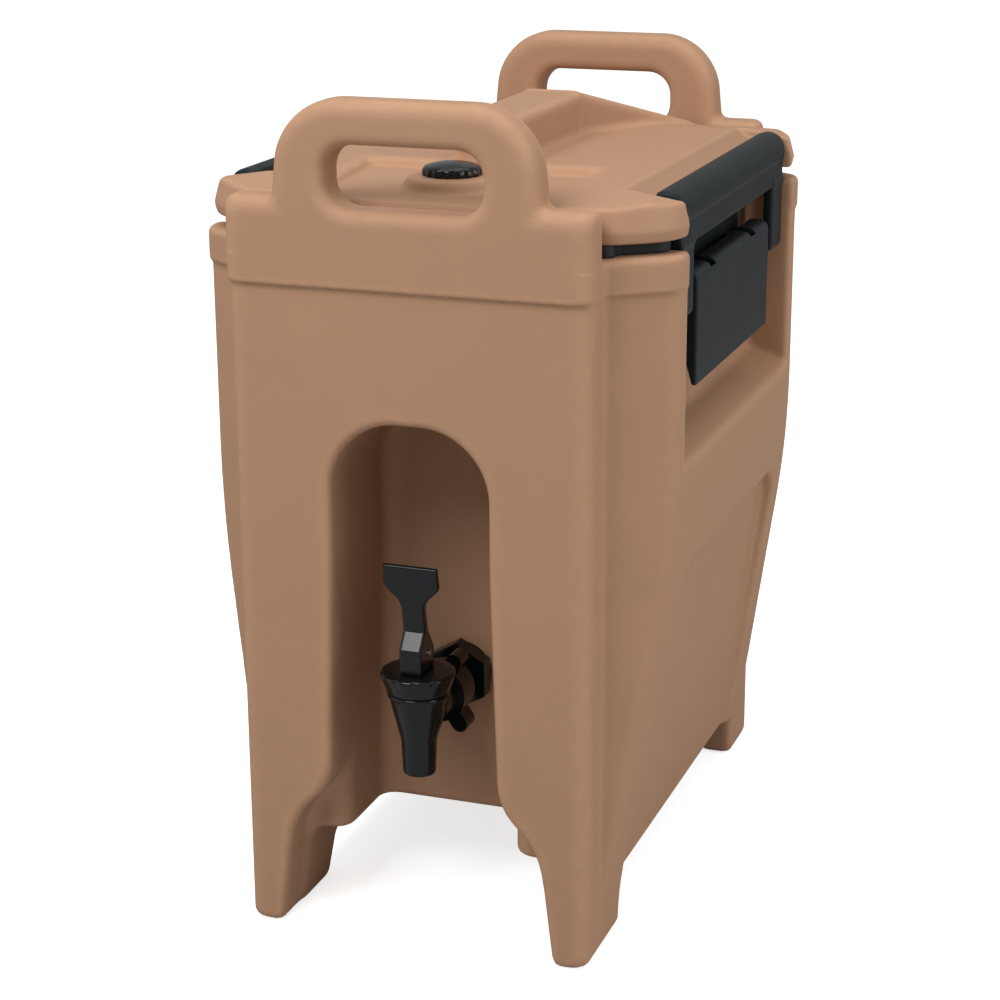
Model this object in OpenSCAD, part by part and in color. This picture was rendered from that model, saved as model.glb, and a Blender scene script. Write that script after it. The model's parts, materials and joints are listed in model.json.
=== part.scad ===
// Insulated beverage carrier: a moulded double-wall body with its handles and
// feet in one piece, a lift-off lid held by two draw latches, and a lever tap.
// The tap faces -Y, the latches are on +X and -X, and the feet stand on Z = 0.

/* [Body] */
// Height to the top of the handles
overall_h = 465; // [455:1:490]
// Rise of the handles over the rim that the lid closes on
handle_rise = 78; // [74:1:82]
// Width across the side walls
body_w = 268; // [264:1:290]
// Depth from the front of the front handle to the back of the rear one
body_d = 365; // [355:1:400]
// Width of the flat front and of the handle blocks
block_w = 201; // [198:1:206]
// Depth of the strip beside each handle block, before the cut-off corner
strip_d = 24; // [22:0.5:25]
// Half length of a side wall, between its two cut-off corners
side_half = 134; // [128:1:140]
// Height of the rim band
collar_h = 19; // [14:0.5:24]
// How far the rim band stands out from the walls below it
collar_step = 2.5; // [1.5:0.1:3.5]
// How far the rim band stands out from the side walls
side_step = 0.8; // [0.4:0.1:1.4]
// Distance below the rim where the side walls start to lean in
taper_drop = 162; // [150:1:170]
// Width across the feet
base_w = 202; // [196:1:206]
// Thickness of the moulded skin
skin = 5; // [4:0.1:6]
// Radius of the upright outer edges
edge_r = 7; // [4:0.5:9]

/* [Feet and underside] */
// Clear height under the side walls
skirt_z = 28; // [20:1:34]
// Clear height under the middle of the base
base_z = 50; // [44:1:56]
// Space between the feet at the floor
foot_gap = 158; // [150:1:162]
// Space between the feet at the top of the notch
notch_w = 144; // [136:1:148]
// Length of a front foot along the side
front_foot_d = 68; // [60:1:76]
// Length of a rear foot along the side
rear_foot_d = 48; // [40:1:60]
// Height where the tap bay ends and the front notch begins
notch_top = 96; // [90:1:100]
// Height where the front notch reaches its full width
notch_low = 68; // [62:1:74]
// Depth of the front notch, measured from the front
notch_d = 28; // [22:1:34]

/* [Tap bay] */
// Width of the bay at the spring of its arch
bay_w = 89; // [84:1:94]
// Width of the bay at the bottom
bay_low_w = 98; // [95:1:104]
// Distance of the top of the bay below the rim
bay_drop = 90; // [82:1:97]
// Radius of the top corners of the bay
bay_r = 38; // [30:1:42]
// Depth of the bay
bay_d = 84; // [80:1:90]

/* [Tank] */
// Insulated wall between the bay and the tank
bay_wall = 24; // [20:1:30]
// Inside width of the tank
tank_w = 156; // [140:1:160]
// Insulated wall between the top of the bay and the tank, which widens forward over it
roof_wall = 29; // [25:1:39]
// Height of the tank floor
tank_floor = 100; // [92:1:106]
// Radius of the tank corners
tank_r = 20; // [12:1:30]

/* [Handles] */
// Thickness of a handle and its block
handle_t = 26; // [22:1:30]
// Rise of the block's shoulders over the rim
shoulder_rise = 27; // [24:1:30]
// Radius of the shoulders
shoulder_r = 6; // [4:0.5:9]
// Outside width of a handle at its shoulders
loop_w = 147; // [142:1:152]
// Outside width of a handle at its top
loop_top_w = 137; // [132:1:141]
// Radius of the top corners of a handle
loop_r = 33; // [28:1:36]
// Width of the grip opening
grip_w = 86; // [80:1:90]
// Height of the grip opening
grip_h = 33; // [30:1:36]
// Height of the bar over the grip opening
bar_h = 23; // [20:1:26]
// Radius of the corners of the grip opening
grip_r = 14; // [10:1:15]
// Radius over the top edges of a handle
handle_r = 8; // [5:0.5:10]

/* [Side walls] */
// Space between a latch bail and each end of its pocket
pocket_side = 4; // [3:0.5:6]
// Depth of a latch pocket behind the side of the rim band
pocket_d = 28; // [27:0.5:30]
// Height of a latch pocket at its back, from its floor to the rim
pocket_h = 105; // [100:1:109]
// Drop of the pocket floor to its outer edge
pocket_drop = 10; // [6:1:14]
// Half length of the sunk panel below the pocket
panel_half = 115; // [106:1:120]
// Distance of the top of the sunk panel below the start of the lean
panel_drop = 17; // [11:1:25]
// Depth of the sunk panel at its top
panel_depth = 8; // [5:0.5:9]
// Depth of the sunk panel at its bottom
panel_depth_low = 3; // [2:0.5:4]
// Radius of the top corners of the sunk panel
panel_r = 28; // [20:1:34]

/* [Lid] */
// Gap between the rim and the edge of the lid, filled by the gasket
lid_gap = 7; // [6:0.5:9]
// Thickness of the lid's edge
lid_edge_t = 18; // [16:0.5:20]
// Rise of the lid's top from its edge to its middle
lid_crown = 5; // [3:0.5:6]
// Space between the lid and the handle blocks
lid_side_gap = 1; // [0.6:0.1:2]
// Depth of the lid's plug below the rim
plug_d = 20; // [14:1:28]
// Space between the plug and the tank
plug_gap = 2; // [1:0.5:3]
// Width of the ridge along the lid
ridge_w = 38; // [32:1:44]
// Height of the ridge over the lid's top
ridge_h = 25; // [18:1:28]
// Length of the level part of the ridge
ridge_len = 118; // [100:1:126]
// Width of the ridge's tail at the rear of the lid
tail_w = 122; // [100:1:136]
// Width of the gasket
gasket_w = 9; // [7:0.5:11]
// Radius of the gasket's outer corners
gasket_r = 6; // [3:0.5:12]

/* [Vent] */
// Distance of the vent from the front of the carrier
vent_d = 74; // [70:1:80]
// Radius of the boss under the vent cap
vent_boss_r = 28; // [25:0.5:30]
// Radius of the vent cap
vent_cap_r = 18; // [15:0.5:20]
// Height of the vent cap
vent_cap_h = 7; // [6:0.5:9]
// Radius of the vent cap's hollow stub
vent_stub_r = 6; // [5:0.1:7]
// Depth of the well that the vent boss stands in
vent_well_d = 5; // [3:0.5:6]

/* [Latches] */
// Length of a latch bail along the lid
bail_len = 226; // [216:1:228]
// Width of each bail rail
rail_w = 25; // [20:0.5:28]
// Thickness of a bail
bail_t = 11; // [10:0.5:12]
// Set-back of the latch's face from the side wall
latch_inset = 6; // [4:0.5:7]
// Height of the bail's cross bar
bail_bar_h = 24; // [20:1:26]
// Reach of the hook over the lid
hook_reach = 20; // [17:0.5:21]
// Width of the latch lever
lever_w = 161; // [150:1:164]
// Length of the lever below its pivot
lever_len = 56; // [50:1:60]
// Thickness of the lever's upper part
lever_t = 13; // [12.5:0.5:13.5]
// Distance of the latch pivots behind the latch's face
pivot_in = 6.5; // [6:0.1:7]
// Distance of the lever's pivot below the rim
pivot_drop = 25; // [23:0.5:29]
// Distance from the lever's pivot down to the bail's pivot
throw_r = 12; // [10:0.5:13]
// Radius of both latch pins
latch_pin_r = 2.5; // [2:0.1:3]
// Thickness of the latch bracket's base plate
bracket_t = 3; // [2:0.5:4]
// Width of each bracket ear
ear_w = 10; // [8:0.5:12]
// Distance of the bracket ears from the middle
ear_y = 45; // [35:1:55]
// Radius of the bracket screws
bracket_screw_r = 2.5; // [2:0.1:3]

/* [Tap] */
// Distance of the tap's upright axis from the front
tap_setback = 15; // [14:0.5:18]
// Height of the shank
shank_z = 134; // [130:0.5:138]
// Outer radius of the shank
shank_r = 8; // [7:0.1:9]
// Radius of the bore through the shank
shank_bore_r = 5; // [4:0.1:5.5]
// Height of the spout's tip
spout_z = 99; // [96:0.5:104]
// Radius of the spout's tip
spout_r = 9; // [8.5:0.1:10]
// Radius of the top of the tap body
tap_top_r = 17; // [16.8:0.1:17.8]
// Height of the top of the tap body
tap_top_z = 147.5; // [147:0.5:150]
// Radius of the bonnet
bonnet_r = 20.5; // [20:0.1:22]
// Height of the bonnet
bonnet_h = 12; // [11.5:0.5:14]
// Radius of the stem
stem_r = 3; // [2.5:0.1:3.4]
// Height of the lever pin over the bonnet
pin_rise = 10; // [9:0.5:11]
// Width of the tap lever's heel and neck
neck_w = 12.5; // [12:0.5:14]
// Reach of the heel in front of and behind the tap's axis
heel_reach = 9; // [9:0.5:10]
// Height of the heel's front
heel_h = 14; // [13:0.5:15]
// Reach of the neck in front of the tap's axis
neck_reach = 12; // [11:0.5:13]
// Width of the tap lever's paddle
paddle_w = 31; // [28:0.5:34]
// Height of the tap lever's paddle
paddle_h = 13; // [11:0.5:15]
// Thickness of the tap lever's paddle
paddle_t = 4; // [3.5:0.5:5]
// Height of the top of the paddle
paddle_top = 221; // [216:1:223]

/* [Hidden] */
$fn = 48;

// Clearances
eps = 0.05;        // overlap that makes a cut break through cleanly
run_fit = 0.05;    // radial running clearance of a pin in its bore
part_gap = 0.3;    // space between pieces that move past each other
seat_gap = 0.2;    // space between pieces that rest on each other
foam_gap = 0.2;    // space between the foam and the skin

// Small sizes that stay as they are
lid_inset = 1;     // set-back of the lid's edge from the body's sides
lid_corner_in = 2; // set-back of the lid's cut-off corners from the body's
lid_lip = 6;       // height of the lower face of the lid's edge
lid_under = 1.5;   // set-back of the lid's underside from its lip
lid_lean = 3;      // set-back of the top of the lid's edge from its lip
crown_side = 35;   // distance of the lid's level top from its sides
crown_end = 45;    // distance of the lid's level top from its front and rear
gasket_in = 2.5;   // set-back of the gasket from the edges that it runs along
rim_seat = 1;      // width of the rim inside the gasket
hook_t = 4.5;      // thickness of the latch hook
hook_slope = 0.25; // rise of the hook over its reach
notch_side = 2.5;  // space at each end of the hook
notch_sink = 4;    // depth of the hook's notch at the lid's edge
vent_rise = 1;     // rise of the vent's seat over the lid
vent_stub_len = 14; // length of the vent cap's stub under the cap
ear_wall = 1.5;    // wall of a bracket ear round its pin
lever_rise = 7;    // rise of the lever over its pivot
lip_rise = 0.5;    // rise of the lever's front skin in its ear slots
screw_in = 10;     // distance of the bracket screws from the bracket's ends
screw_rise = 14;   // distance of the bracket screws from the pivot's height

// Colours
tan_c = [0.65, 0.50, 0.40];
latch_c = [0.22, 0.24, 0.24];
tap_c = [0.12, 0.14, 0.14];
seal_c = [0.10, 0.12, 0.16];
foam_c = [0.93, 0.88, 0.72];
steel_c = [0.75, 0.76, 0.77];

// Places worked out from the driving sizes
front_y = -body_d / 2;
bay_back = front_y + bay_d;
tank_front = bay_back + bay_wall;
rim_h = overall_h - handle_rise;
shoulder_h = rim_h + shoulder_rise;
taper_top = rim_h - taper_drop;
panel_top = taper_top - panel_drop;
bay_top = rim_h - bay_drop;
tank_step = bay_top + roof_wall;
pocket_x = body_w / 2 - pocket_d;
pocket_z = rim_h - pocket_h;
pocket_half = bail_len / 2 + pocket_side;
lever_pivot_z = rim_h - pivot_drop;
lever_low = lever_pivot_z - lever_len;
wall_x = body_w / 2 - side_step;
corner_top = [block_w / 2, body_d / 2 - strip_d];
corner_end = [body_w / 2, side_half];
corner_n = [corner_top.y - corner_end.y, corner_end.x - corner_top.x] / norm(corner_top - corner_end);
band_z = rim_h - collar_h;
lid_low = rim_h + lid_gap;
lid_edge_z = lid_low + lid_edge_t;
lid_top = lid_edge_z + lid_crown;
lid_w = body_w - 2 * lid_inset;
lid_half_d = body_d / 2 - handle_t - lid_side_gap;
gasket_x = pocket_x - gasket_in;
gasket_y = lid_half_d - gasket_in;
tank_back = gasket_y - gasket_w - rim_seat;
grip_top = overall_h - bar_h;
latch_x = body_w / 2 - latch_inset;
bail_in = latch_x - bail_t;
lid_cut_x = bail_in - part_gap;
hook_tip_x = latch_x - hook_reach;
notch_half = bail_len / 2 + notch_side;
notch_z = lid_edge_z - notch_sink;
lever_pivot_x = latch_x - pivot_in;
ear_r = latch_pin_r + ear_wall;
bail_pivot_z = lever_pivot_z - throw_r;
tap_y = front_y + tap_setback;
bonnet_top = tap_top_z + bonnet_h;
tap_pin_z = bonnet_top + pin_rise;
vent_y = front_y + vent_d;
vent_floor = lid_top - vent_well_d;
vent_seat = lid_top + vent_rise;

// Y of a cut-off corner's face at the given X, with the face set in by the given amount
function corner_at(x, in) = (corner_n * corner_top - in - corner_n.x * x) / corner_n.y;

// Points of a closed outline whose corners [x, y, r] are rounded by arcs
function arc_corner(a, b, c, r, n) =
    let (u = [a.x - b.x, a.y - b.y] / norm([a.x - b.x, a.y - b.y]),
         v = [c.x - b.x, c.y - b.y] / norm([c.x - b.x, c.y - b.y]),
         half = acos(max(-1, min(1, u * v))) / 2,
         t = r / tan(half),
         mid = (u + v) / norm(u + v),
         o = [b.x, b.y] + mid * r / sin(half),
         s = [b.x, b.y] + u * t - o,
         e = [b.x, b.y] + v * t - o,
         a0 = atan2(s.y, s.x),
         sweep = (atan2(e.y, e.x) - a0 + 540) % 360 - 180)
    [for (i = [0 : n]) o + r * [cos(a0 + sweep * i / n), sin(a0 + sweep * i / n)]];

function rounded(p, n = 6) =
    let (m = len(p))
    [for (i = [0 : m - 1])
        let (b = p[i])
        each b[2] > 0 ? arc_corner(p[(i + m - 1) % m], b, p[(i + 1) % m], b[2], n) : [[b.x, b.y]]];

// Outline mirrored to the other side of the Y axis of its sketch
function both_sides(p) =
    concat(p, [for (i = [len(p) - 1 : -1 : 0]) [-p[i].x, p[i].y, p[i][2]]]);

// Half outlines drawn as sketches and turned upright
module along_y(y0, y1) {
    translate([0, y1, 0]) rotate([90, 0, 0]) linear_extrude(y1 - y0) children();
}

module along_x(x0, x1) {
    translate([x0, 0, 0]) rotate([90, 0, 90]) linear_extrude(x1 - x0) children();
}

module both_x() {
    children();
    mirror([1, 0, 0]) children();
}

module both_y() {
    children();
    mirror([0, 1, 0]) children();
}

// Plan of the rim band drawn in by the given amount, and of the walls with their step added
module body_plan(in, step = 0) {
    all = in + step;
    side = in + min(step, side_step);
    hx = body_w / 2 - side;
    bx = block_w / 2 - side;
    hy = body_d / 2 - all;
    cy = corner_at(bx, all);
    sy = corner_at(hx, all);
    r = max(1, edge_r - all);
    half = [[bx, -hy, r], [bx, -cy, r], [hx, -sy, r], [hx, sy, r], [bx, cy, r], [bx, hy, r]];
    polygon(rounded(both_sides(half)));
}

// Section of the body across its width, with the sides leaning in to the feet
module body_section(in) {
    half = [[base_w / 2 - in, in - eps, 0], [base_w / 2 - in, skirt_z, 0],
        [wall_x - in, taper_top, 60], [wall_x - in, rim_h - in, 0]];
    polygon(rounded(both_sides(half), 8));
}

// Arch of the tap bay, made larger by the given amount
module bay_arch(out) {
    low = bay_low_w / 2 + out;
    high = bay_w / 2 + out;
    half = [[low, -eps, 0], [low, notch_top - 20, 0], [high, bay_top - 2 * bay_r, 0],
        [high, bay_top + out, bay_r]];
    polygon(rounded(both_sides(half), 12));
}

// Front notch between the feet, running up in an ogee to the tap bay
module front_notch(out) {
    half = [[foot_gap / 2 + out, -eps, 0], [notch_w / 2 + out, notch_low + out, 12],
        [bay_low_w / 2 + out, notch_top - 9 + out, 12], [bay_low_w / 2 + out, notch_top + 20, 0]];
    polygon(rounded(both_sides(half), 8));
}

// Plan of the tank from a front wall to its rear wall, made larger by the given amount
module tank_plan(y0, out) {
    hx = tank_w / 2 + out;
    r = max(2, tank_r + out);
    polygon(rounded(both_sides([[hx, y0 - out, r], [hx, tank_back + out, r]]), 8));
}

module mouth_plan(out) {
    tank_plan(-tank_back, out);
}

// Tank: a deep well behind the bay, and a wide mouth over it
module tank_space(out) {
    translate([0, 0, tank_floor - out]) linear_extrude(rim_h - tank_floor + out + 1) tank_plan(tank_front, out);
    translate([0, 0, tank_step - out]) linear_extrude(rim_h - tank_step + out + 1) mouth_plan(out);
}

// Latch pocket on the right, made larger by the given amount
module pocket(out) {
    end_x = body_w / 2 + 10;
    back_x = pocket_x - out;
    run = wall_x - pocket_x;
    along_y(-pocket_half - out, pocket_half + out)
        polygon([[back_x, rim_h + 1], [back_x, pocket_z - out],
            [end_x, pocket_z - pocket_drop * (end_x - pocket_x) / run - out], [end_x, rim_h + 1]]);
}

// Sunk panel on the right side, made deeper by the given amount
module sunk_panel(out) {
    lean = (wall_x - base_w / 2) / (taper_top - skirt_z);
    top_x = wall_x - lean * (taper_top - panel_top) - panel_depth - out;
    low_x = base_w / 2 - panel_depth_low - out;
    far = body_w / 2 + 10;
    intersection() {
        along_y(-panel_half - out, panel_half + out)
            polygon([[top_x, panel_top + out], [far, panel_top + out], [far, 0],
                [low_x - lean * skirt_z, 0], [low_x, skirt_z]]);
        along_x(0, far)
            polygon(rounded([[-panel_half - out, 0, 0], [panel_half + out, 0, 0],
                [panel_half + out, panel_top + out, panel_r],
                [-panel_half - out, panel_top + out, panel_r]]));
    }
}

// Spaces cut away under the body, which leave the four feet
module underside() {
    far = body_w / 2 + 10;
    along_y(front_y - 1, -front_y + 1)
        polygon(rounded(both_sides([[foot_gap / 2, -1, 0], [notch_w / 2, base_z, 8]])));
    along_x(-far, far)
        polygon([[front_y + front_foot_d, -1], [front_y + front_foot_d + 4, skirt_z],
            [-front_y - rear_foot_d - 4, skirt_z], [-front_y - rear_foot_d, -1]]);
}

// Walls of the body as one block, drawn in by the given amount
module body_block(in) {
    difference() {
        intersection() {
            translate([0, 0, in]) linear_extrude(rim_h - 2 * in) body_plan(in, collar_step);
            along_y(front_y, -front_y) body_section(in);
        }
        bay_space(in);
        both_x() pocket(in);
        both_x() sunk_panel(in);
    }
}

// Hollow between the outer skin and the tank, filled by the foam
module foam_space(in) {
    difference() {
        body_block(skin + in);
        tank_space(skin + in);
        along_y(front_y - 1, front_y + notch_d + skin + in) front_notch(skin + in);
        translate([0, 0, -1]) linear_extrude(base_z + skin + in + 1) body_plan(0);
        along_y(bay_back - 1, tank_front + 1) translate([0, shank_z]) circle(r = shank_r + skin + in);
    }
}

module handle_sketch() {
    bx = block_w / 2;
    lx = loop_w / 2;
    half = [[bx, rim_h, 0], [bx, shoulder_h, shoulder_r], [lx, shoulder_h, 5],
        [loop_top_w / 2, overall_h, loop_r]];
    difference() {
        polygon(rounded(both_sides(half), 10));
        translate([0, grip_top - grip_h / 2])
            polygon(rounded(both_sides([[grip_w / 2, -grip_h / 2, grip_r],
                [grip_w / 2, grip_h / 2, grip_r]]), 8));
    }
}

// The body is one moulding, kept here as the walls that it is made of
module level(z0, z1) {
    translate([-body_w, -body_d, z0]) cube([2 * body_w, 2 * body_d, z1 - z0]);
}

// Sleeve round the shank, from the bay to the tank
module shank_boss() {
    along_y(bay_back, tank_front - skin) translate([0, shank_z]) circle(r = shank_r + skin);
}

module shank_hole() {
    along_y(bay_back - 1, tank_front + 1) translate([0, shank_z]) circle(r = shank_r + part_gap);
}

module notch_space() {
    along_y(front_y - 1, front_y + notch_d) front_notch(0);
}

module bay_space(out) {
    along_y(front_y - 1, bay_back + out) bay_arch(out);
}

// Section of a latch pocket's back and floor, made larger by the given amount
module pocket_section(out, end_x) {
    drop = pocket_drop / (wall_x - pocket_x);
    polygon([[pocket_x - out, rim_h], [pocket_x - out, pocket_z - out],
        [end_x, pocket_z - drop * (end_x - pocket_x) - out], [end_x, rim_h]]);
}

module pocket_region() {
    along_y(-pocket_half, pocket_half) pocket_section(skin, body_w / 2 + 10);
}

// Upright walls between the base and the rim band
module body_shell() color(tan_c) {
    difference() {
        intersection() {
            body_block(0);
            level(base_z + skin, band_z);
        }
        tank_space(skin);
        foam_space(0);
        bay_space(skin);
        both_x() pocket_region();
        notch_space();
        shank_boss();
    }
}

module rim_band() color(tan_c) {
    difference() {
        translate([0, 0, band_z]) linear_extrude(collar_h) body_plan(0);
        tank_space(0);
        intersection() {
            tank_space(skin);
            level(0, rim_h - skin);
        }
        foam_space(0);
        both_x() pocket_region();
    }
}

// Handle with its block, rounded over the top
module handle() color(tan_c) {
    far = block_w / 2 + 5;
    intersection() {
        along_y(front_y, front_y + handle_t) handle_sketch();
        along_x(-far, far)
            polygon(rounded([[front_y, rim_h, 0], [front_y + handle_t, rim_h, 0],
                [front_y + handle_t, overall_h, handle_r], [front_y, overall_h, handle_r]], 8));
        translate([0, 0, rim_h]) linear_extrude(overall_h - rim_h) body_plan(0);
    }
}

module handle_front() handle();
module handle_rear() mirror([0, 1, 0]) handle();

module base_panel() color(tan_c) {
    difference() {
        intersection() {
            body_block(0);
            level(base_z, base_z + skin);
        }
        bay_space(skin);
        notch_space();
        fill_hole(0);
    }
}

module feet() color(tan_c) {
    difference() {
        intersection() {
            body_block(0);
            translate([0, front_y, -eps]) cube([body_w, body_d, base_z + eps]);
        }
        underside();
        notch_space();
    }
}

module feet_right() feet();
module feet_left() mirror([1, 0, 0]) feet();

module bay_liner() color(tan_c) {
    difference() {
        union() {
            intersection() {
                along_y(front_y + collar_step, bay_back + skin) bay_arch(skin);
                level(base_z, rim_h);
            }
            shank_boss();
        }
        bay_space(0);
        notch_space();
        shank_hole();
    }
}

module tank_liner() color(tan_c) {
    difference() {
        translate([0, 0, tank_floor - skin]) linear_extrude(tank_step - tank_floor) tank_plan(tank_front, skin);
        tank_space(0);
        shank_hole();
    }
}

module mouth_liner() color(tan_c) {
    difference() {
        intersection() {
            tank_space(skin);
            level(tank_step - skin, rim_h - skin);
        }
        tank_space(0);
    }
}

module pocket_liner() color(tan_c) {
    difference() {
        along_y(-pocket_half, pocket_half) difference() {
            pocket_section(skin, wall_x);
            pocket_section(0, wall_x + 1);
        }
        bracket_screw_places(bracket_screw_r, pocket_x - skin - 1, pocket_x + 1);
    }
}

module pocket_liner_right() pocket_liner();
module pocket_liner_left() mirror([1, 0, 0]) pocket_liner();

module foam_core() color(foam_c) {
    difference() {
        foam_space(foam_gap);
        both_x() bracket_screw_places(bracket_screw_r + 1, 0, pocket_x);
    }
}

// Hole in the base where the foam is poured in
fill_r = 10;
fill_y = 40;
module fill_hole(in) {
    translate([0, fill_y, base_z - 1]) cylinder(r = fill_r - in, h = skin + 2);
}

module foam_plug() color(tan_c) {
    translate([0, fill_y, base_z - 2]) cylinder(r = fill_r + 3, h = 2);
    translate([0, fill_y, base_z - eps]) cylinder(r = fill_r - run_fit, h = skin);
}

// Plan of the lid: straight between the handle blocks, with the body's cut-off corners
module lid_plan() {
    hx = lid_w / 2;
    hy = corner_at(hx, lid_corner_in);
    front_x = hx - (lid_half_d - hy) * corner_n.y / corner_n.x;
    half = [[front_x, -lid_half_d, 5], [hx, -hy, 14], [hx, hy, 14], [front_x, lid_half_d, 5]];
    polygon(rounded(both_sides(half), 8));
}

// Section of the lid with its two-faced edge and crowned top, from its half width and crown
module lid_section(half_w, crown_x) {
    half = [[half_w - lid_under, lid_low, 2], [half_w, lid_low + lid_lip, 3],
        [half_w - lid_lean, lid_edge_z, 4], [crown_x, lid_top, 40]];
    polygon(rounded(both_sides(half), 8));
}

// Ridge along the lid, ending in a tail that slopes down and spreads to the rear
module lid_ridge() {
    hw = ridge_w / 2;
    y1 = ridge_len / 2;
    y0 = -y1;
    tail_y = lid_half_d - 12;
    top = lid_top + ridge_h;
    translate([0, 0, lid_top - 4]) linear_extrude(ridge_h + 4)
        polygon(rounded([[hw, y0, 6], [hw, y1, 0], [-hw, y1, 0], [-hw, y0, 6]]));
    difference() {
        translate([0, 0, lid_top - 4]) linear_extrude(ridge_h + 4)
            polygon([[hw, y1 - eps], [tail_w / 2, tail_y], [-tail_w / 2, tail_y], [-hw, y1 - eps]]);
        along_x(-body_w / 2, body_w / 2)
            polygon([[y1, top], [tail_y + eps, lid_top - 1], [tail_y + eps, top + 1], [y1, top + 1]]);
    }
}

// Notch in the lid's right edge that the latch hook lies in
module hook_notch() {
    inner_x = hook_tip_x - 5;
    far = lid_w / 2 + 10;
    floor_in = notch_z + hook_slope * (lid_cut_x - inner_x);
    along_y(-notch_half, notch_half)
        polygon([[inner_x - 10, lid_top + 5], [inner_x, floor_in], [lid_cut_x, notch_z],
            [lid_cut_x, lid_low - 1], [far, lid_low - 1], [far, lid_top + 5]]);
}

// Well at the front of the lid's top, round the vent boss
module vent_well() {
    w = vent_boss_r * 2;
    y1 = -ridge_len / 2 - 1;
    y0 = -lid_half_d - 1;
    translate([0, 0, vent_floor]) linear_extrude(20)
        polygon(rounded([[w, y0, 0], [w + 10, y1, 8], [-w - 10, y1, 8], [-w, y0, 0]]));
}

module lid_hollow(in) {
    difference() {
        translate([0, 0, rim_h - plug_d + skin + in])
            linear_extrude(lid_edge_z - skin - rim_h + plug_d - skin - 2 * in)
                mouth_plan(-plug_gap - skin - in);
        translate([0, vent_y, rim_h - plug_d]) cylinder(r = vent_stub_r + skin + in, h = 80);
    }
}

module lid_shell() color(tan_c) {
    difference() {
        union() {
            difference() {
                intersection() {
                    translate([0, 0, lid_low]) linear_extrude(lid_top - lid_low) lid_plan();
                    along_y(front_y, -front_y) lid_section(lid_w / 2, lid_w / 2 - crown_side);
                    along_x(-body_w, body_w) lid_section(lid_half_d, lid_half_d - crown_end);
                }
                vent_well();
            }
            lid_ridge();
            translate([0, 0, rim_h - plug_d]) linear_extrude(plug_d + lid_gap + 1) mouth_plan(-plug_gap);
            translate([0, vent_y, vent_floor - 2]) cylinder(r1 = vent_boss_r, r2 = vent_boss_r - 5,
                h = vent_seat - vent_floor + 2);
        }
        both_x() hook_notch();
        lid_hollow(0);
        translate([0, vent_y, rim_h - plug_d - 1]) cylinder(r = vent_stub_r + run_fit, h = 80);
    }
}

module lid_foam() color(foam_c) {
    lid_hollow(foam_gap);
}

// Gasket under the lid, pressed on the rim round the tank
module lid_gasket() color(seal_c) {
    inner = gasket_w;
    inner_r = gasket_r / 3;
    translate([0, 0, rim_h + seat_gap]) linear_extrude(lid_gap - seat_gap) difference() {
        polygon(rounded(both_sides([[gasket_x, -gasket_y, gasket_r], [gasket_x, gasket_y, gasket_r]]), 8));
        polygon(rounded(both_sides([[gasket_x - inner, inner - gasket_y, inner_r],
            [gasket_x - inner, gasket_y - inner, inner_r]]), 8));
    }
}

module vent_seal() color(seal_c) {
    translate([0, vent_y, vent_seat]) difference() {
        cylinder(r = vent_cap_r - 5, h = 1.5);
        translate([0, 0, -1]) cylinder(r = vent_stub_r + 2, h = 4);
    }
}

// Vent cap: a low round knob with finger flutes, on a hollow stub
module vent_cap() color(tap_c) {
    flutes = 16;
    z0 = vent_seat + part_gap;
    translate([0, vent_y, 0]) difference() {
        union() {
            translate([0, 0, z0]) rotate_extrude()
                polygon([[0, 0], [vent_cap_r, 0], [vent_cap_r, vent_cap_h * 0.55],
                    [vent_cap_r - 2, vent_cap_h * 0.8], [vent_cap_r - 8, vent_cap_h], [0, vent_cap_h]]);
            translate([0, 0, z0 - vent_stub_len]) cylinder(r = vent_stub_r, h = vent_stub_len + eps);
        }
        for (i = [0 : flutes - 1])
            rotate([0, 0, i * 360 / flutes]) translate([vent_cap_r + 1, 0, z0 - 1])
                cylinder(r = 2, h = vent_cap_h + 2);
        translate([0, 0, z0 - eps]) difference() {
            cylinder(r = vent_cap_r - 5 + part_gap, h = 1.5);
            translate([0, 0, -1]) cylinder(r = vent_stub_r, h = 4);
        }
        translate([0, 0, z0 - vent_stub_len - 1])
            cylinder(r = vent_stub_r - 2, h = vent_stub_len + 1 + vent_cap_h / 2);
    }
}

// Places of the bracket's screws on the right side, as rods along X
module bracket_screw_places(r, x0, x1) {
    for (y = [-lever_w / 2 + screw_in, lever_w / 2 - screw_in])
        for (z = [lever_pivot_z - screw_rise, lever_pivot_z + screw_rise])
            translate([x0, y, z]) rotate([0, 90, 0]) cylinder(r = r, h = x1 - x0);
}

// Latch pieces are drawn on the right side and mirrored to the left
module bracket() color(latch_c) {
    base_x = pocket_x + seat_gap;
    difference() {
        union() {
            along_x(base_x, base_x + bracket_t)
                polygon(rounded(both_sides([[lever_w / 2, lever_pivot_z - 22, 4],
                    [lever_w / 2, lever_pivot_z + 22, 4]])));
            for (y = [-ear_y, ear_y]) along_y(y - ear_w / 2, y + ear_w / 2) {
                translate([lever_pivot_x, lever_pivot_z]) circle(r = ear_r);
                translate([base_x + eps, lever_pivot_z - ear_r])
                    square([lever_pivot_x - base_x, 2 * ear_r]);
            }
        }
        along_y(-lever_w, lever_w) translate([lever_pivot_x, lever_pivot_z]) circle(r = latch_pin_r);
        bracket_screw_places(bracket_screw_r + 0.2, base_x - 1, base_x + bracket_t + 1);
    }
}

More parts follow.
